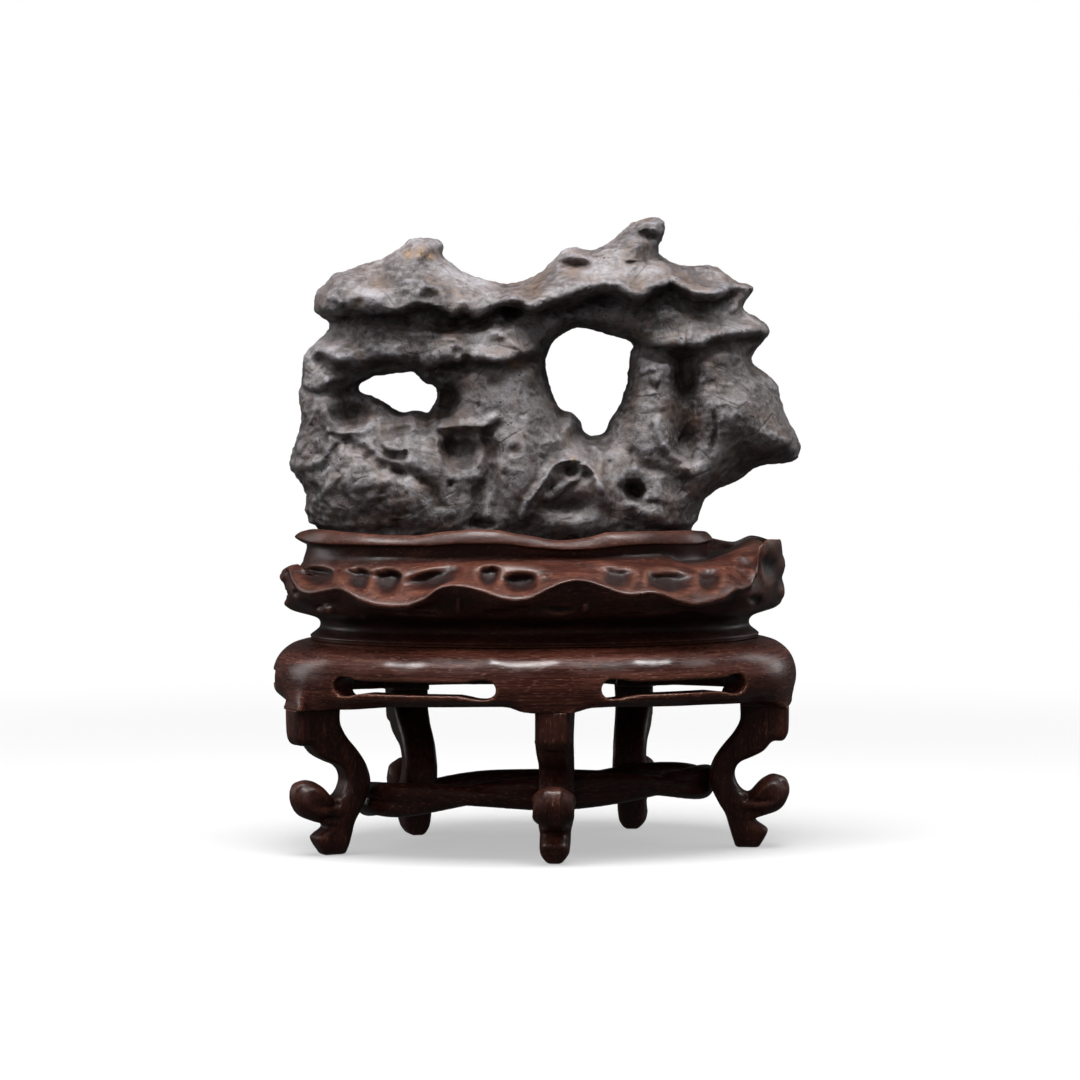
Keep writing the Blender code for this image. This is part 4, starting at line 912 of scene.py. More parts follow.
def frontCurve(gridLine, across, blur=1.2):
    # height on the middle plane along a line drawn on the view grid, rounded at its corners
    line = onGrid(gridLine)
    dense = np.arange(line[0, 0] - 12.0, line[-1, 0] + 12.0, 0.5)
    values = np.interp(dense, line[:, 0], line[:, 1])
    kernel = np.exp(-0.5 * (np.arange(-12, 13) * 0.5 / blur) ** 2)
    padded = np.pad(values, 12, mode="edge")
    values = np.convolve(padded, kernel / kernel.sum(), mode="valid")
    return np.interp(across, dense, values)


def raisedTo(x, y, gridLine, plain):
    # height that shows on a front line, and the plain height on the far side
    seen, away = frontView(np.column_stack((x, y, plain)))
    closer = view["distance"] / (view["distance"] + away)
    height = view["eye"][2] - (view["eye"][2] - frontCurve(gridLine, seen[:, 0])) / closer
    nearSide = softStep(0.5 - away / 30.0)
    return plain + (height - plain) * nearSide


seat = {
    "steps": 600,
    "ringSteps": 9,
    "socket": 135.5,
}
# rings of the carved seat from its underside to its socket: half length, half depth, centre, height
seatRings = (
    (101.0, 71.0, 0.0, 93.8), (101.6, 71.6, 0.0, 95.4), (97.3, 67.3, 0.0, 99.4), (99.0, 69.0, 0.0, 103.5),
    (109.0, 77.5, -0.8, 107.6), (112.4, 82.0, -0.8, 113.0), (112.6, 84.5, -1.4, 118.5),
    (112.2, 84.5, -1.4, 121.5), (108.0, 77.0, -1.0, 125.0), (103.0, 70.0, -4.0, 129.0),
    (92.0, 59.8, -12.0, 131.5), (90.8, 58.6, -12.6, 135.5), (94.4, 62.0, -14.0, 137.6),
    (91.5, 58.5, -14.0, 141.0), (88.0, 51.5, -14.0, 140.0), (86.0, 47.5, -14.0, 135.5),
)
underRing, bellyRing, lowEdgeRing, edgeRing, faceRing, rootRing, neckRing = 4, 5, 6, 7, 8, 9, 10
lipRing, crestRing, innerRing = 12, 13, 14
skirtEdge = (
    (-170, 121.0), (-159, 115.5), (-148, 118.5), (-130, 112.8), (-115, 120.7),
    (-100, 114.8), (-87, 122.3), (-74, 117.4), (-60, 113.4), (-46, 116.0), (-39, 119.0),
    (-34.5, 124.0), (-31, 135.5), (-27, 137.4), (-12, 136.6), (6, 135.4), (18, 136.6), (27, 133.6),
    (40, 135.5), (52, 126.0), (62, 116.0), (74, 121.5), (87, 114.5), (100, 121.0), (115, 113.8),
    (130, 121.0), (145, 115.0), (160, 119.5), (172, 123.5),
)
# lines on the view grid
skirtFront = (
    (284, 567), (289, 567), (294, 580), (304, 590), (314, 592.4), (328, 590), (342, 587.6), (352, 592),
    (364, 599), (380, 603.6), (396, 605), (412, 604.4), (428, 598), (440, 588), (452, 585.6),
    (468, 587), (484, 591), (500, 597), (516, 600), (530, 598.2), (546, 590), (562, 583),
    (576, 580.4), (590, 582), (604, 587), (620, 593), (630, 594.4), (650, 592), (660, 593.6),
    (674, 599), (690, 603), (704, 601), (722, 596), (734, 588),
)
rootFront = (
    (300, 570), (330, 569), (352, 570), (382, 571), (406, 569), (428, 569), (454, 569), (468, 567),
    (486, 565), (508, 564), (539, 565.5), (560, 570), (580, 572), (598, 572), (610, 567),
    (618, 566.4), (630, 567), (654, 569), (682, 570), (696, 572), (716, 571), (735, 566),
)
lipFront = (
    (297, 537), (308, 542), (328, 543.6), (384, 545), (432, 545), (458, 543), (494, 542.6),
    (508, 543.4), (530, 546.4), (560, 549), (576, 549), (596, 548), (620, 545), (650, 543),
    (680, 543.4), (700, 543), (710, 540),
)
crestFront = (
    (297, 533), (311, 529), (342, 532), (380, 535), (418, 536), (438, 533), (470, 530), (498, 530.4),
    (516, 534), (530, 536), (554, 540.4), (566, 540.4), (580, 539), (592, 537), (606, 533),
    (624, 532), (690, 531), (700, 531), (710, 536),
)
# thumb hollows on the skirt's front, on the view grid: across, down, half width, half height, turn, depth
skirtHollows = (
    (316, 573, 19, 17, 0, 5.0), (358, 575, 15, 20, 0, 6.0), (386, 576.5, 18, 21, 0, 6.2),
    (434, 575, 33, 16, 16, 6.0), (490, 572, 13, 18, 0, 5.2), (521, 579, 20, 16, 3, 5.4),
    (546, 579, 9, 4, 12, 1.2), (619, 572.5, 18, 19, -6, 5.8), (672, 577, 27, 20, -3, 6.8),
    (711, 575.5, 14, 18, 0, 5.0), (304, 560, 8, 4, 0, 1.0), (744, 562, 9, 20, 0, 1.4),
)
skirtNubs = (
    (353, 569.5, 5, 3, 0, -1.4), (382, 571.5, 6, 2.6, 0, -1.0), (306, 569.5, 5, 3, 0, -1.0),
    (486, 567, 4.5, 3.4, 0, -1.6), (618, 569, 9, 2.4, 0, -0.9), (668, 571.5, 14, 2.0, 0, -0.8),
    (406, 577, 5, 8, 0, -1.2), (338, 579, 6, 9, 0, -1.0), (646, 580, 5, 10, 0, -1.2), (556, 577, 10, 3, 0, -0.8),
)
belowSkirt = (
    (330, 610, 3.4, 7, 25, -1.6), (318, 606, 6, 6, 0, 1.4), (459, 606, 3.0, 9, 0, -1.4),
    (366, 621, 3.0, 9, 30, -1.4), (586, 608, 5, 6, -20, -1.6), (560, 608, 16, 6, 0, 1.6),
    (634, 614, 12, 5, 0, 1.2), (420, 614, 20, 8, 0, 1.4), (500, 612, 18, 7, 0, 1.4),
    (690, 614, 14, 6, 0, 1.2), (295, 592, 4, 7, 0, 1.2), (770, 562, 9, 20, 6, 1.8), (786, 564, 8, 10, 0, -1.3),
    (786, 579, 9, 5, 0, 1.8), (786, 593, 10, 7, 0, -0.9), (757, 598, 9, 8, 0, 1.6), (282, 592, 8, 5, 0, 1.6),
    (282, 604, 8, 6, 0, -1.2), (282, 576, 7, 8, 0, -1.2),
)
# thumb hollows round the sides and back: angle, half span, depth
backHollows = (
    (28, 6, 2.0), (44, 6, 2.2), (62, 6, 2.8), (76, 7, 3.0), (92, 6, 2.8), (108, 7, 3.0), (123, 6, 2.8),
    (138, 7, 3.0), (153, 6, 2.8), (168, 6, 2.8), (-178, 5, 2.4),
)


def seatRingPlaces(ring, angles):
    # one ring of the seat, bent to its waves
    halfLength, halfDepth, centre, plain = seatRings[ring]
    height = np.full(len(angles), plain)
    flare = np.zeros(len(angles))
    edge = roundTrip(skirtEdge, angles)
    lobe = np.clip((edge - 123.0) / 15.0, 0.0, 1.0)
    edgeX = -1.4 + 112.2 * np.cos(angles)
    edgeY = 84.5 * np.sin(angles)
    fromFront = raisedTo(edgeX, edgeY, skirtFront, edge)
    frontShare = softStep((-38.0 - np.degrees(angles)) / 8.0) * softStep((np.degrees(angles) + 180.0) / 8.0)
    edge = edge + (fromFront - edge) * frontShare
    wave = (edge - 118.0) * (1.0 - lobe)
    if ring == edgeRing:
        height = edge + 0.8
        flare = 1.6 - 0.22 * wave - 2.5 * lobe
    if ring == lowEdgeRing:
        height = edge - 2.0
        flare = 1.0 - 0.22 * wave
    if ring == bellyRing:
        height = 112.5 + 0.35 * wave
        flare = 1.2 * np.sin(np.radians(turnOffset(angles, 20.0) * 11.0))
    if ring == underRing:
        flare = 1.6 * np.sin(np.radians(turnOffset(angles, 8.0) * 13.0))
    if ring == faceRing:
        height = 0.5 * (edge + 129.0) + 0.5 - 1.6 * lobe
        flare = 2.2 * lobe
    x = centre + (halfLength + flare) * np.cos(angles)
    y = (halfDepth + flare) * np.sin(angles)
    petal = softStep((np.degrees(angles) + 36.0) / 13.0) * softStep((9.0 - np.degrees(angles)) / 11.0)
    curl = softStep((np.degrees(angles) + 48.0) / 10.0) * softStep((60.0 - np.degrees(angles)) / 14.0)
    if ring == rootRing:
        height = raisedTo(x, y, rootFront, height) + 2.4 * curl + 6.0 * petal
    if ring == neckRing:
        height = height - 3.0 * curl
    ripple = np.sin(np.radians(turnOffset(angles, 70.0) * 3.0)) + 0.6 * np.sin(np.radians(turnOffset(angles, 15.0) * 7.0))
    if ring in (neckRing + 1, lipRing, crestRing, innerRing):
        height = height + 0.8 * ripple * softStep(0.5 + y / 40.0)
    if ring == lipRing:
        height = raisedTo(x, y, lipFront, height)
    if ring == neckRing + 1:
        height = raisedTo(x, y, lipFront, height) - 1.0
    if ring == crestRing:
        height = raisedTo(x, y, crestFront, height)
    if ring == innerRing:
        height = raisedTo(x, y, crestFront, height) - 1.2
    return np.column_stack((x, y, height))


def hollowDepth(points, hollows, sharpTop=0.42):
    # depth of hollows on the view grid, steeper at their tops; swellings are negative
    seen, _away = frontView(points)
    deep = np.zeros(len(points))
    for across, down, halfAcross, halfUp, turn, depth in hollows:
        centre = onGrid([(across, down)])[0]
        size = view["gridSize"][0]
        turnCos, turnSin = math.cos(math.radians(turn)), math.sin(math.radians(turn))
        right, up = seen[:, 0] - centre[0], seen[:, 1] - centre[1]
        alongHollow = (right * turnCos + up * turnSin) / (halfAcross * size)
        upHollow = (up * turnCos - right * turnSin) / (halfUp * size)
        upHollow = np.where((upHollow > 0) & (depth > 0), upHollow / sharpTop, upHollow)
        deep += depth * (1.0 - softStep((np.hypot(alongHollow, upHollow) - 0.3) / 0.8))
    return deep


def makeSeat():
    # a drum whose height counts the rings is spun up, then every ring is drawn to its place
    count = len(seatRings)
    levels = np.linspace(0.0, count - 1.0, (count - 1) * seat["ringSteps"] + 1)
    bm = bmesh.new()
    profile = [bm.verts.new((0.0, 0.0, levels[0]))]
    profile += [bm.verts.new((1.0, 0.0, level)) for level in levels]
    profile += [bm.verts.new((0.0, 0.0, levels[-1]))]
    lines = [bm.edges.new(pair) for pair in zip(profile[:-1], profile[1:])]
    bmesh.ops.spin(bm, geom=profile + lines, cent=(0.0, 0.0, 0.0), axis=(0.0, 0.0, 1.0), dvec=(0.0, 0.0, 0.0),
                   angle=2.0 * math.pi, steps=seat["steps"], use_merge=True)
    bmesh.ops.remove_doubles(bm, verts=bm.verts, dist=0.0001)
    bmesh.ops.recalc_face_normals(bm, faces=bm.faces)
    mesh = bpy.data.meshes.new("seatCarving")
    bm.to_mesh(mesh)
    bm.free()
    cage = rawPoints(mesh) * mm
    angles = np.arctan2(cage[:, 1], cage[:, 0])
    onAxis = np.hypot(cage[:, 0], cage[:, 1]) < 0.5
    level = cage[:, 2]
    low = np.clip(np.floor(level + 1e-6).astype(int), 0, count - 2)
    part = (level - low)[:, None]
    rings = np.array([seatRingPlaces(ring, angles) for ring in range(count)])
    every = np.arange(len(angles))
    before = rings[np.maximum(low - 1, 0), every]
    start, end = rings[low, every], rings[low + 1, every]
    after = rings[np.minimum(low + 2, count - 1), every]
    points = 0.5 * (2.0 * start + (end - before) * part
                    + (2.0 * before - 5.0 * start + 4.0 * end - after) * part ** 2
                    + (3.0 * start - before - 3.0 * end + after) * part ** 3)
    square = (low == 0) | (low >= innerRing)
    points = np.where(square[:, None], start + (end - start) * part, points)
    points[onAxis, 0] = np.where(level[onAxis] > 1.0, -14.0, 0.0)
    points[onAxis, 1] = 0.0
    points[onAxis, 2] = np.where(level[onAxis] > 1.0, seat["socket"], seatRings[0][3])
    writePoints(mesh, points)
    normals = readNormals(mesh)
    away = frontView(points)[1]
    nearSide = softStep(0.3 - away / 25.0)
    onFace = softStep((level - edgeRing) / 0.6) * softStep((neckRing - 0.1 - level) / 0.7)
    onBelly = softStep((level - underRing + 0.9) / 0.6) * softStep((edgeRing - 0.4 - level) / 0.5)
    deep = hollowDepth(points, skirtHollows + skirtNubs) * onFace * nearSide
    deep += hollowDepth(points, belowSkirt) * onBelly * softStep(0.9 - away / 25.0)
    points -= normals * (1.0, 1.0, 0.3) * deep[:, None]
    farSide = softStep(0.5 + away / 25.0)
    for place, halfSpan, depth in backHollows:
        reach = np.hypot(turnOffset(angles, place) / halfSpan, (level - faceRing - 0.25) / 0.95)
        points -= normals * (depth * (1.0 - softStep(reach)) * farSide)[:, None]
        ridge = np.hypot(turnOffset(angles, place + 8.0) / 2.4, (level - bellyRing) / 1.2)
        points += normals * (1.5 * (1.0 - softStep(ridge)) * farSide)[:, None]
    points += normals * (0.10 * noiseAt(points, (9.0, 9.0, 6.0), 5.2))[:, None]
    points[level < 0.01, 2] = seatRings[0][3]
    writePoints(mesh, points)
    carving = addPiece("seatCarving", mesh)
    storeVector(mesh, "grain", points + np.array((0.0, 0.0, 40.0)))
    small, broad = hollowness(mesh, 5), hollowness(mesh, 40)
    # painted shade: thumb hollows, broad hollows and the skirt's underside are painted darker, less in the cup where
    # light falls
    beneath = 0.55 * softStep((lowEdgeRing + 0.3 - level) / 1.2)
    inCup = softStep((np.degrees(angles) + 40.0) / 8.0) * softStep((60.0 - np.degrees(angles)) / 12.0)
    inCup *= softStep((level - edgeRing) / 0.5) * softStep((neckRing + 0.5 - level) / 0.5)
    hollowPaintedShade = np.maximum(0.95 * softStep((deep - 0.6) / 6.0), broad * 0.45 * (1.0 - 0.8 * inCup))
    hollowPaintedShade = np.maximum(hollowPaintedShade, beneath)
    storeValue(mesh, "hollow", np.clip(small * 2.0 + hollowPaintedShade, 0.0, 1.0))
    # edges painted lighter: rubbed wear and partly a painted highlight on the crests
    storeValue(mesh, "wearAndHighlight", np.clip(-small * 2.6 - broad * 0.06, 0.0, 0.75))
    finishPiece(carving, makeWoodMaterial("waxedSeatWood", -0.02, 0.31), "seat")
    print("seat", len(mesh.vertices))


makeSeat()

# ---- apron

apron = {
    "slices": 240,
    "seam": -159.0,  # degrees; over a leg
    "slotHeight": 76.6,
    "slotHalf": 2.7,
    "bulb": 4.3,
    "voxel": 0.9,
}
apronShoulder = ((5.5, 65.0), (1.6, 69.5), (0.0, 75.0), (0.4, 81.0), (3.2, 87.0), (8.5, 91.5), (15.0, 93.5))
apronInside = ((33.0, 93.5), (31.0, 88.0), (19.0, 84.5), (14.0, 78.0), (12.5, 65.0))
slots = ((-125.0, 20.0), (-63.8, 18.8), (16.0, 22.0), (89.0, 20.0), (161.0, 22.0))
leg = {"thickness": 16.6, "bevel": 3.6, "voxel": 0.62, "ballRadius": 9.4, "ballPlace": (9.6, 24.2)}
# name: angle round the oval, inset of the foot, direction it faces, lean, height
legs = {
    "leg_front": (-91.2, 20.0, -103.0, 0.0, 66.5),
    "leg_front_left": (-159.5, 18.6, -162.0, 2.0, 64.5),
    "leg_front_right": (-22.5, 19.5, -15.0, 0.0, 63.5),
    "leg_back_right": (57.5, 21.0, 72.0, 0.0, 66.0),
    "leg_back_left": (121.5, 31.5, 99.0, 9.0, 66.0),
}
# height of the apron's lower edge, which dips to the top of each leg
apronEdge = (
    (-170.5, 66.6), (-165.5, 64.8), (-153.5, 64.8), (-147.5, 65.8), (-125, 68.4), (-103.0, 69.0),
    (-98.5, 66.7), (-88.5, 66.7), (-84.5, 68.6), (-60, 67.8), (-36, 67.0), (-30, 66.4), (-25.5, 63.9),
    (-14.5, 63.9), (-10.0, 66.6), (16, 67.4), (46.5, 66.8), (51.5, 66.3), (63.5, 66.3), (68.5, 66.8),
    (89, 66.4), (110.5, 66.8), (115.5, 66.3), (127.5, 66.3), (132.5, 66.6), (152, 67.0),
)
# swellings left by the scraper along the shoulder, on the view grid: across, down, half size, rise
shoulderSwells = (
    (387, 661, 24, 0.7), (430, 662, 24, 0.6), (492, 658, 20, 0.6), (561, 663, 24, 0.7),
    (637, 659, 20, 0.6), (668, 661, 18, 0.6), (722, 664, 22, 0.4), (330, 664, 22, 0.4),
)


def slotOutline(halfSpan):
    # a long slot that swells into a round bulb at each end, in degrees along and millimetres up
    reach = apron["bulb"] * 360.0 / (math.pi * (oval["halfLength"] + oval["halfDepth"]))
    across = (halfSpan - reach) * np.sin(np.linspace(-0.5, 0.5, 61) * math.pi)
    swell = softStep((np.abs(across) - halfSpan + 3.6 * reach) / (2.4 * reach))
    half = apron["slotHalf"] + (apron["bulb"] - apron["slotHalf"]) * swell
    turn = np.linspace(-0.5, 0.5, 19)[1:-1] * math.pi
    height = apron["slotHeight"]
    right = [(halfSpan - reach + reach * math.cos(t), height + apron["bulb"] * math.sin(t)) for t in turn]
    left = [(-x, 2.0 * height - y) for x, y in right]
    lower = [(x, height - rise) for x, rise in zip(across, half)]
    upper = [(x, height + rise) for x, rise in zip(across[::-1], half[::-1])]
    return lower + right + upper + left


def legPlace(name, outward, across):
    # stand millimetres at a distance outwards and sideways from a foot's centre
    angle, inset, facing, _lean, _top = legs[name]
    x, y = onOval(math.radians(angle), inset)
    aheadX, aheadY = math.cos(math.radians(facing)), math.sin(math.radians(facing))
    return x + outward * aheadX - across * aheadY, y + outward * aheadY + across * aheadX


def addLegBlock(bm, name):
    # the apron thickens over a leg, flush with the leg's faces, and dies into the shoulder
    _angle, _inset, _facing, lean, top = legs[name]
    halfWidth = 0.53 * leg["thickness"]
    block = bmesh.ops.create_cube(bm, size=2.0)["verts"]
    edges = {edge for vert in block for edge in vert.link_edges}
    upright = [edge for edge in edges if abs(edge.verts[0].co.z - edge.verts[1].co.z) > 1.0]
    for vert in block:
        outer = 18.4 if vert.co.z < 0 else 12.0
        outward = lean + (outer if vert.co.x > 0 else -3.2)
        x, y = legPlace(name, outward, vert.co.y * halfWidth)
        vert.co = placed((x, y, top - 0.6 if vert.co.z < 0 else 87.0))
    bmesh.ops.bevel(bm, geom=upright, offset=leg["bevel"] * mm, segments=3, profile=0.5, affect="EDGES",
                    material=-1)


def makeApron():
    # a straight moulding, slotted, then bent round the oval and closed
    section = [tuple(place) for place in throughPoints(apronShoulder, 5)] + list(apronInside)
    bm = bmesh.new()
    ring = [bm.verts.new((apron["seam"] * mm, inset * mm, height * mm)) for inset, height in section]
    start = bm.faces.new(ring)
    bmesh.ops.spin(bm, geom=[start] + start.edges[:] + start.verts[:], cent=(0.0, 0.0, 0.0), axis=(0.0, 0.0, 1.0),
                   dvec=(360.0 / apron["slices"] * mm, 0.0, 0.0), angle=0.0, steps=apron["slices"], use_duplicate=False)
    loose = [face for face in bm.faces if len(face.verts) > 4]
    bmesh.ops.delete(bm, geom=loose, context="FACES_ONLY")
    bmesh.ops.holes_fill(bm, edges=[edge for edge in bm.edges if edge.is_boundary], sides=0)
    bmesh.ops.recalc_face_normals(bm, faces=bm.faces)
    mesh = bpy.data.meshes.new("apronRing")
    bm.to_mesh(mesh)
    bm.free()
    ringPiece = addPiece("apronRing", mesh)
    for centre, halfSpan in slots:
        cutter = flatCurve("slotCutter", [slotOutline(halfSpan)], 30.0)
        bm = bmesh.new()
        bm.from_mesh(cutter.data)
        bmesh.ops.rotate(bm, cent=(0.0, 0.0, 0.0), matrix=Vector((0.0, 0.0, 1.0)).rotation_difference(
            Vector((0.0, -1.0, 0.0))).to_matrix(), verts=bm.verts)
        bmesh.ops.translate(bm, verts=bm.verts, vec=(centre * mm, 0.0, 0.0))
        bm.to_mesh(cutter.data)
        bm.free()
        ringPiece = cutAway(ringPiece, cutter)
    mesh = ringPiece.data
    bm = bmesh.new()
    bm.from_mesh(mesh)
    middle = (apron["seam"] + 180.0) * mm
    ends = [face for face in bm.faces if min(abs(vert.co.x - middle) for vert in face.verts) > 179.99 * mm]
    bmesh.ops.delete(bm, geom=ends, context="FACES_ONLY")
    bm.to_mesh(mesh)
    points = rawPoints(mesh)
    angles = np.radians(points[:, 0])
    inset, height = points[:, 1].copy(), points[:, 2].copy()
    lower = np.clip((71.5 - height) / 5.0, 0.0, 1.0)
    height += lower * (roundTrip(apronEdge, angles) - 65.0)
    fromLeg = np.min([np.abs(turnOffset(angles, row[0])) for row in legs.values()], axis=0)
    straight = softStep((13.0 - fromLeg) / 6.0) * softStep((9.0 - inset) / 3.0) * (height < 76.0)
    inset = inset * (1.0 - 0.72 * straight)
    x, y = onOval(angles, inset)
    writePoints(mesh, np.column_stack((x, y, height)))
    bm.clear()
    bm.from_mesh(mesh)
    bmesh.ops.remove_doubles(bm, verts=bm.verts, dist=0.01 * mm)
    bmesh.ops.triangulate(bm, faces=bm.faces)
    bmesh.ops.recalc_face_normals(bm, faces=bm.faces)
    for name in legs:
        addLegBlock(bm, name)
    bm.to_mesh(mesh)
    bm.free()
    ringPiece = remeshPiece(ringPiece, apron["voxel"], 3)
    mesh = ringPiece.data
    points = readPoints(mesh)
    smooth = averaged(points, edgeArrays(mesh), 40)
    for name, row in legs.items():
        x, y = legPlace(name, row[3] + 10.0, 0.0)
        near = softStep((19.0 - np.hypot(points[:, 0] - x, points[:, 1] - y)) / 6.0)
        near *= softStep((points[:, 2] - row[4] - 1.5) / 3.0) * softStep((84.0 - points[:, 2]) / 5.0)
        points += (smooth - points) * near[:, None]
    writePoints(mesh, points)
    normals = averaged(readNormals(mesh), edgeArrays(mesh), 3)
    seen, away = frontView(points)
    rise = np.zeros(len(points))
    for across, down, halfSize, swell in shoulderSwells:
        centre = onGrid([(across, down)])[0]
        reach = np.hypot(seen[:, 0] - centre[0], seen[:, 1] - centre[1]) / (halfSize * view["gridSize"][0])
        rise += swell * np.exp(-2.0 * reach ** 2) * (away < 0)
    rise += 0.18 * noiseAt(points, (24.0, 24.0, 14.0), 9.4)
    shoulderShare = softStep((points[:, 2] - 80.0) / 6.0) * softStep((92.6 - points[:, 2]) / 3.0)
    points += normals * (rise * shoulderShare)[:, None]
    for name, row in legs.items():
        x, y = legPlace(name, row[3] + 7.6, 0.0)
        overLeg = np.hypot(points[:, 0] - x, points[:, 1] - y) < 16.0
        points[:, 2] = np.where(overLeg, np.maximum(points[:, 2], row[4] + 0.05), points[:, 2])
    points[:, 1] = np.clip(points[:, 1], -87.75, 87.5)
    writePoints(mesh, points)
    angles = np.arctan2(points[:, 1] / oval["halfDepth"], points[:, 0] / oval["halfLength"])
    outward = np.hypot(points[:, 0] / oval["halfLength"], points[:, 1] / oval["halfDepth"])
    storeVector(mesh, "grain", np.column_stack((angles * 104.0, outward * 100.0, points[:, 2])))
    small, broad = hollowness(mesh, 6), hollowness(mesh, 50)
    # hollows painted darker as painted shade; edges painted lighter as rubbed wear and partly as a painted highlight
    storeValue(mesh, "hollow", np.clip(small * 2.0 + broad * 0.15 - 0.1, 0.0, 1.0))
    storeValue(mesh, "wearAndHighlight", np.clip(-small * 3.5 - 0.15, 0.0, 1.0))
    finishPiece(ringPiece, makeWoodMaterial("waxedApronWood", 0.01, 0.22), "apron")
    print("apron", len(mesh.vertices))


makeApron()

# ---- legs

# side profile: outwards from the foot's centre, height
legOutline = (
    (-3.2, 64.2), (-3.0, 59.2), (-4.2, 55.5), (-6.8, 51.4), (-10.2, 47.3),
    (-13.2, 43.4), (-15.6, 39.1), (-17.1, 33.0), (-16.0, 27.6),
    (-14.6, 24.0), (-12.2, 19.4), (-9.8, 15.3), (-7.9, 9.2),
    (-6.0, 3.0), (-4.2, 0.0), (4.2, 0.0), (6.2, 1.6), (9.2, 7.2),
    (7.4, 9.6), (4.9, 11.2), (3.6, 13.2), (9.1, 15.0), (14.8, 17.6),
    (17.9, 21.8), (18.9, 26.6), (17.4, 30.8),
    (14.8, 32.6), (10.6, 33.2), (6.2, 30.8), (3.4, 28.0),
    (0.8, 25.4), (-2.2, 25.9), (-4.6, 28.9), (-5.8, 33.0), (-4.8, 36.8),
    (-2.4, 39.3), (1.8, 41.1), (7.6, 44.2), (11.4, 48.4),
    (15.8, 48.7), (17.8, 51.0), (18.4, 54.6), (18.4, 64.2),
)


def legWidth(outward, height):
    # slim ankle, round scroll, narrow foot, as a share of the blank's thickness
    levels = (0.0, 4.0, 9.0, 13.0, 18.0, 26.0, 34.0, 44.0, 56.0, 64.5)
    shares = (0.48, 0.74, 0.80, 0.80, 0.95, 0.98, 0.92, 0.94, 1.00, 1.06)
    share = np.interp(height, levels, shares)
    reach = np.hypot(outward - leg["ballPlace"][0], height - leg["ballPlace"][1]) / leg["ballRadius"]
    ball = 1.24 * np.sqrt(np.clip(1.04 - reach ** 2, 0.02, 1.0))
    share = ball + (share - ball) * softStep((reach - 0.85) / 0.35)
    return np.where((outward > 13.5) & (height > 47.0), 0.92, share)


def cutFlat(mesh, height):
    # everything above the height is sawn off and the cut closed
    bm = bmesh.new()
    bm.from_mesh(mesh)
    bmesh.ops.bisect_plane(bm, geom=bm.verts[:] + bm.edges[:] + bm.faces[:], dist=0.001 * mm,
                           plane_co=(0.0, 0.0, height * mm), plane_no=(0.0, 0.0, 1.0), clear_outer=True)
    bmesh.ops.holes_fill(bm, edges=[edge for edge in bm.edges if edge.is_boundary], sides=0)
    bm.to_mesh(mesh)
    bm.free()


def makeLeg(name):
    angle, _inset, _facing, lean, top = legs[name]
    stretch = top / legOutline[0][1]
    outline = throughPoints(legOutline, 4) * (1.0, stretch)
    outline[:, 1] = np.clip(outline[:, 1], 0.0, top + 8.0)
    outline[[0, -1], 1] = top + 8.0
    piece = flatCurve(name + "Carving", [[tuple(place) for place in outline]], leg["thickness"] / 2.0, leg["bevel"], 3)
    points = rawPoints(piece.data)
    outward, height, across = points.T.copy()
    across *= legWidth(outward, height / stretch)
    outward += lean * np.minimum(height / top, 1.0)
    x, y = legPlace(name, outward, across)
    writePoints(piece.data, np.column_stack((x, y, height)))
    piece = remeshPiece(piece, leg["voxel"], 4)
    mesh = piece.data
    points = readPoints(mesh)
    normals = averaged(readNormals(mesh), edgeArrays(mesh), 3)
    points += normals * (0.12 * noiseAt(points, (8.0, 8.0, 8.0), angle * 0.1))[:, None]
    points[:, 2] = np.maximum(points[:, 2], 0.0)
    writePoints(mesh, points)
    cutFlat(mesh, top)
    points = readPoints(mesh)
    storeVector(mesh, "grain", np.column_stack((points[:, 2], points[:, 0] + angle, points[:, 1])))
    small, broad = hollowness(mesh, 6), hollowness(mesh, 60)
    # hollows painted darker as painted shade; edges painted lighter as rubbed wear and partly as a painted highlight
    storeValue(mesh, "hollow", np.clip(small * 2.0 + broad * 0.12 - 0.1, 0.0, 1.0))
    storeValue(mesh, "wearAndHighlight", np.clip(-small * 3.0 - 0.2, 0.0, 1.0))
    finishPiece(piece, makeWoodMaterial("waxed_" + name, -0.03, 0.34), name)
    print(name, len(mesh.vertices))


for legName in legs:
    makeLeg(legName)

# ---- stretcher

stretcher = {"points": 240, "inset": 40.5, "radius": 4.5, "swing": 3.4, "voxel": 0.8}
stretcherHeights = (
    (-150, 23.5), (-100, 28.0), (-60, 29.5), (-10, 28.5), (45, 26.0), (95, 21.5), (140, 19.5), (175, 21.0),
)


def makeStrand(name, swing):
    # one closed strand that rises and falls as it goes round
    curve = bpy.data.curves.new(name, "CURVE")
    curve.dimensions = "3D"
    curve.bevel_depth = stretcher["radius"] * mm
    curve.bevel_resolution = 4
    spline = curve.splines.new("POLY")
    spline.points.add(stretcher["points"] - 1)
    for index, point in enumerate(spline.points):
        angle = 2.0 * math.pi * index / stretcher["points"]
        lift = swing * math.sin(3.0 * (angle - math.radians(5.0)))
        lift += float(roundTrip(stretcherHeights, np.array([angle]))[0])
        weave = 0.9 * swing / stretcher["swing"] * math.cos(3.0 * angle)
        x, y = onOval(np.array([angle]), stretcher["inset"] + weave)
        point.co = ((x[0] + standCentre[0]) * mm, (y[0] + standCentre[1]) * mm, lift * mm, 1.0)
    spline.use_cyclic_u = True
    return bakePiece(addPiece(name, curve))


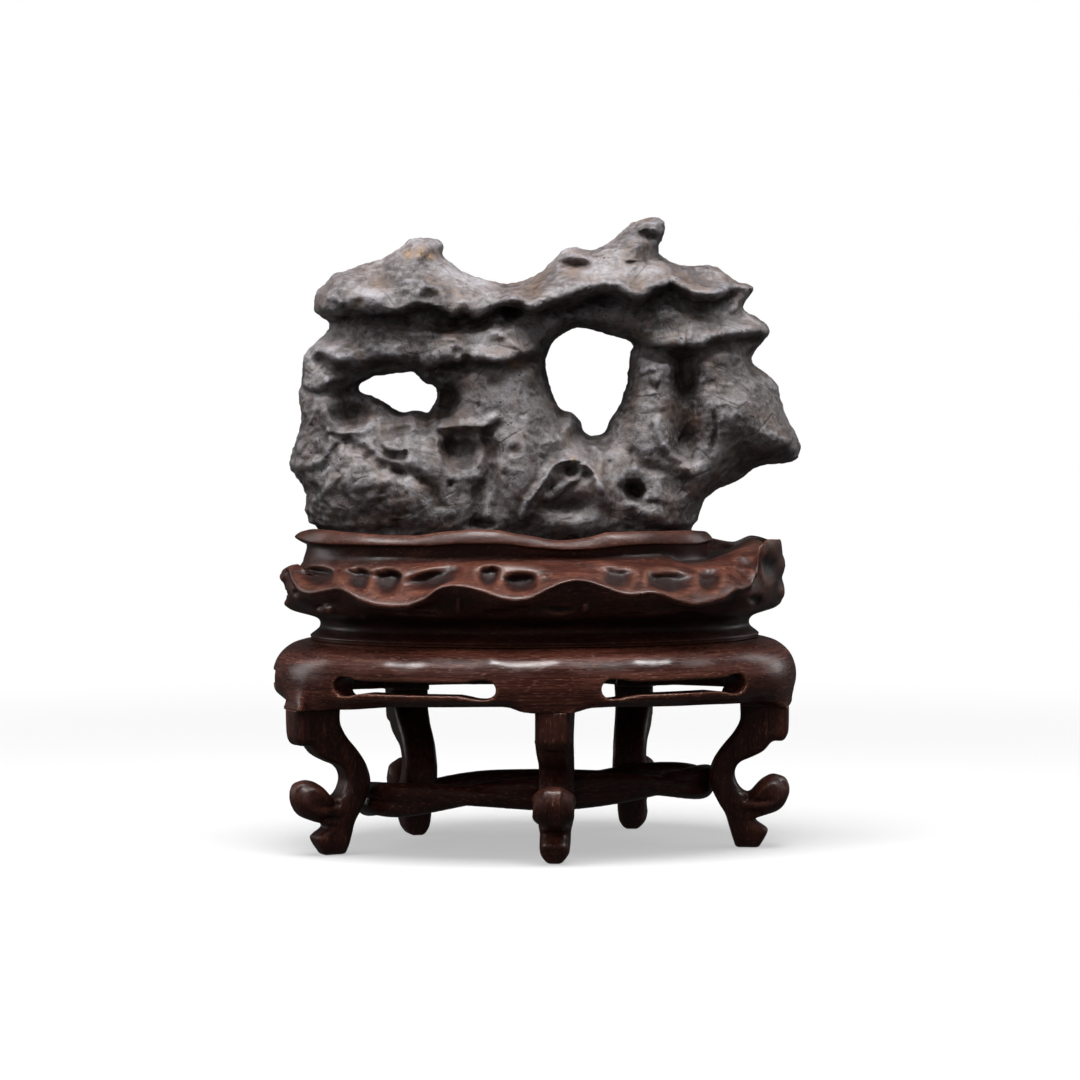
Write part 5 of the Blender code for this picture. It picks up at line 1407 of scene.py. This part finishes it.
def makeStretcher():
    ring = makeStrand("stretcherRing", stretcher["swing"])
    ring = cutAway(ring, makeStrand("secondStrand", -stretcher["swing"]), "UNION")
    ring = remeshPiece(ring, stretcher["voxel"], 3)
    mesh = ring.data
    points = readPoints(mesh)
    angles = np.arctan2(points[:, 1] / oval["halfDepth"], points[:, 0] / oval["halfLength"])
    outward = np.hypot(points[:, 0] / oval["halfLength"], points[:, 1] / oval["halfDepth"])
    storeVector(mesh, "grain", np.column_stack((angles * 65.0, outward * 100.0, points[:, 2])))
    small, broad = hollowness(mesh, 6), hollowness(mesh, 40)
    # hollows painted darker as painted shade; edges painted lighter as rubbed wear and partly as a painted highlight
    storeValue(mesh, "hollow", np.clip(small * 2.5 + broad * 0.2, 0.0, 1.0))
    storeValue(mesh, "wearAndHighlight", np.clip(-small * 2.5 - 0.2, 0.0, 1.0))
    finishPiece(ring, makeWoodMaterial("waxedStretcherWood", -0.08, 0.28), "stretcher")
    print("stretcher", len(mesh.vertices))


makeStretcher()

# ---- stage and light

stage = {
    "reach": 6.0,
    "world": 0.05,
    "veil": 0.72,  # light that the paper carries under the stand, so that its shadows stay pale
    "veilShare": 0.62,
    "fade": (0.28, 1.0),  # metres from the middle over which the floor turns white
}
# place, size, power, whether it lights matt surfaces, whether it shows in glossy ones
lights = {
    "keySoftbox": ((-0.1, -0.3, 1.3), (1.1, 0.8), 33.5, True, False),
    "leftSpread": ((-1.2, -0.1, 1.1), (1.8, 1.6), 11.0, True, False),
    "rightSpread": ((1.2, 0.0, 1.1), (1.8, 1.6), 9.0, True, False),
    "leftStrip": ((-1.2, 0.6, 0.6), (0.35, 0.9), 3.0, False, True),
    "rightStrip": ((1.2, 0.55, 0.6), (0.25, 0.9), 2.0, False, True),
    "frontFill": ((-0.7, -1.7, 0.7), (1.0, 1.0), 4.6, True, False),
}
# three lamps that give the wax its separate glints
for glintName, glintAcross in (("leftGlint", -0.85), ("middleGlint", -0.05), ("rightGlint", 0.72)):
    lights[glintName] = ((glintAcross, -0.35, 1.3), (0.22, 0.3), 8.0, False, True)


def makeStage():
    bm = bmesh.new()
    bmesh.ops.create_grid(bm, x_segments=1, y_segments=1, size=stage["reach"])
    mesh = bpy.data.meshes.new("floor")
    bm.to_mesh(mesh)
    bm.free()
    floor = addPiece("floor", mesh)
    floor.location = (0.0, 0.0, -0.0002)
    material = bpy.data.materials.new("whitePaper")
    material.use_nodes = True
    tree = material.node_tree
    tree.nodes.clear()
    place = addNode(tree, "TexCoord", output="Object")
    apart = addNode(tree, "VectorMath", {0: place}, "Value", operation="LENGTH")
    fadeStart, fadeEnd = stage["fade"]
    far = addNode(tree, "MapRange", {"Value": apart, "From Min": fadeStart, "From Max": fadeEnd},
                  interpolation_type="SMOOTHSTEP")
    paper = addNode(tree, "BsdfDiffuse", {"Color": (0.9, 0.9, 0.9, 1.0)})
    veil = addNode(tree, "Emission", {"Strength": stage["veil"]})
    near = addNode(tree, "MixShader", {0: stage["veilShare"], 1: paper, 2: veil})
    glow = addNode(tree, "Emission", {"Strength": 1.0})
    mixed = addNode(tree, "MixShader", {0: far, 1: near, 2: glow})
    addNode(tree, "OutputMaterial", {"Surface": mixed})
    mesh.materials.append(material)
    floor.visible_diffuse = False
    floor.visible_glossy = False


def makeLight(name):
    place, size, power, onMatt, onGloss = lights[name]
    data = bpy.data.lights.new(name, "AREA")
    data.shape = "RECTANGLE"
    data.size, data.size_y = size
    data.energy = power
    light = addPiece(name, data)
    light.location = place
    light.rotation_euler = (Vector((0.0, 0.0, 0.16)) - Vector(place)).to_track_quat("-Z", "Y").to_euler()
    light.visible_diffuse = onMatt
    light.visible_glossy = onGloss


def makeWorld():
    world = bpy.data.worlds.new("studio")
    bpy.context.scene.world = world
    world.use_nodes = True
    tree = world.node_tree
    tree.nodes.clear()
    toCamera = addNode(tree, "LightPath", output="Is Camera Ray")
    dim, white = [addNode(tree, "Background", {"Color": (1.0, 1.0, 1.0, 1.0), "Strength": strength})
                  for strength in (stage["world"], 1.0)]
    mixed = addNode(tree, "MixShader", {0: toCamera, 1: dim, 2: white})
    addNode(tree, "OutputWorld", {"Surface": mixed})


makeStage()
makeWorld()
for lightName in lights:
    makeLight(lightName)
bpy.context.scene.view_settings.view_transform = "Standard"
print("stage and lights")
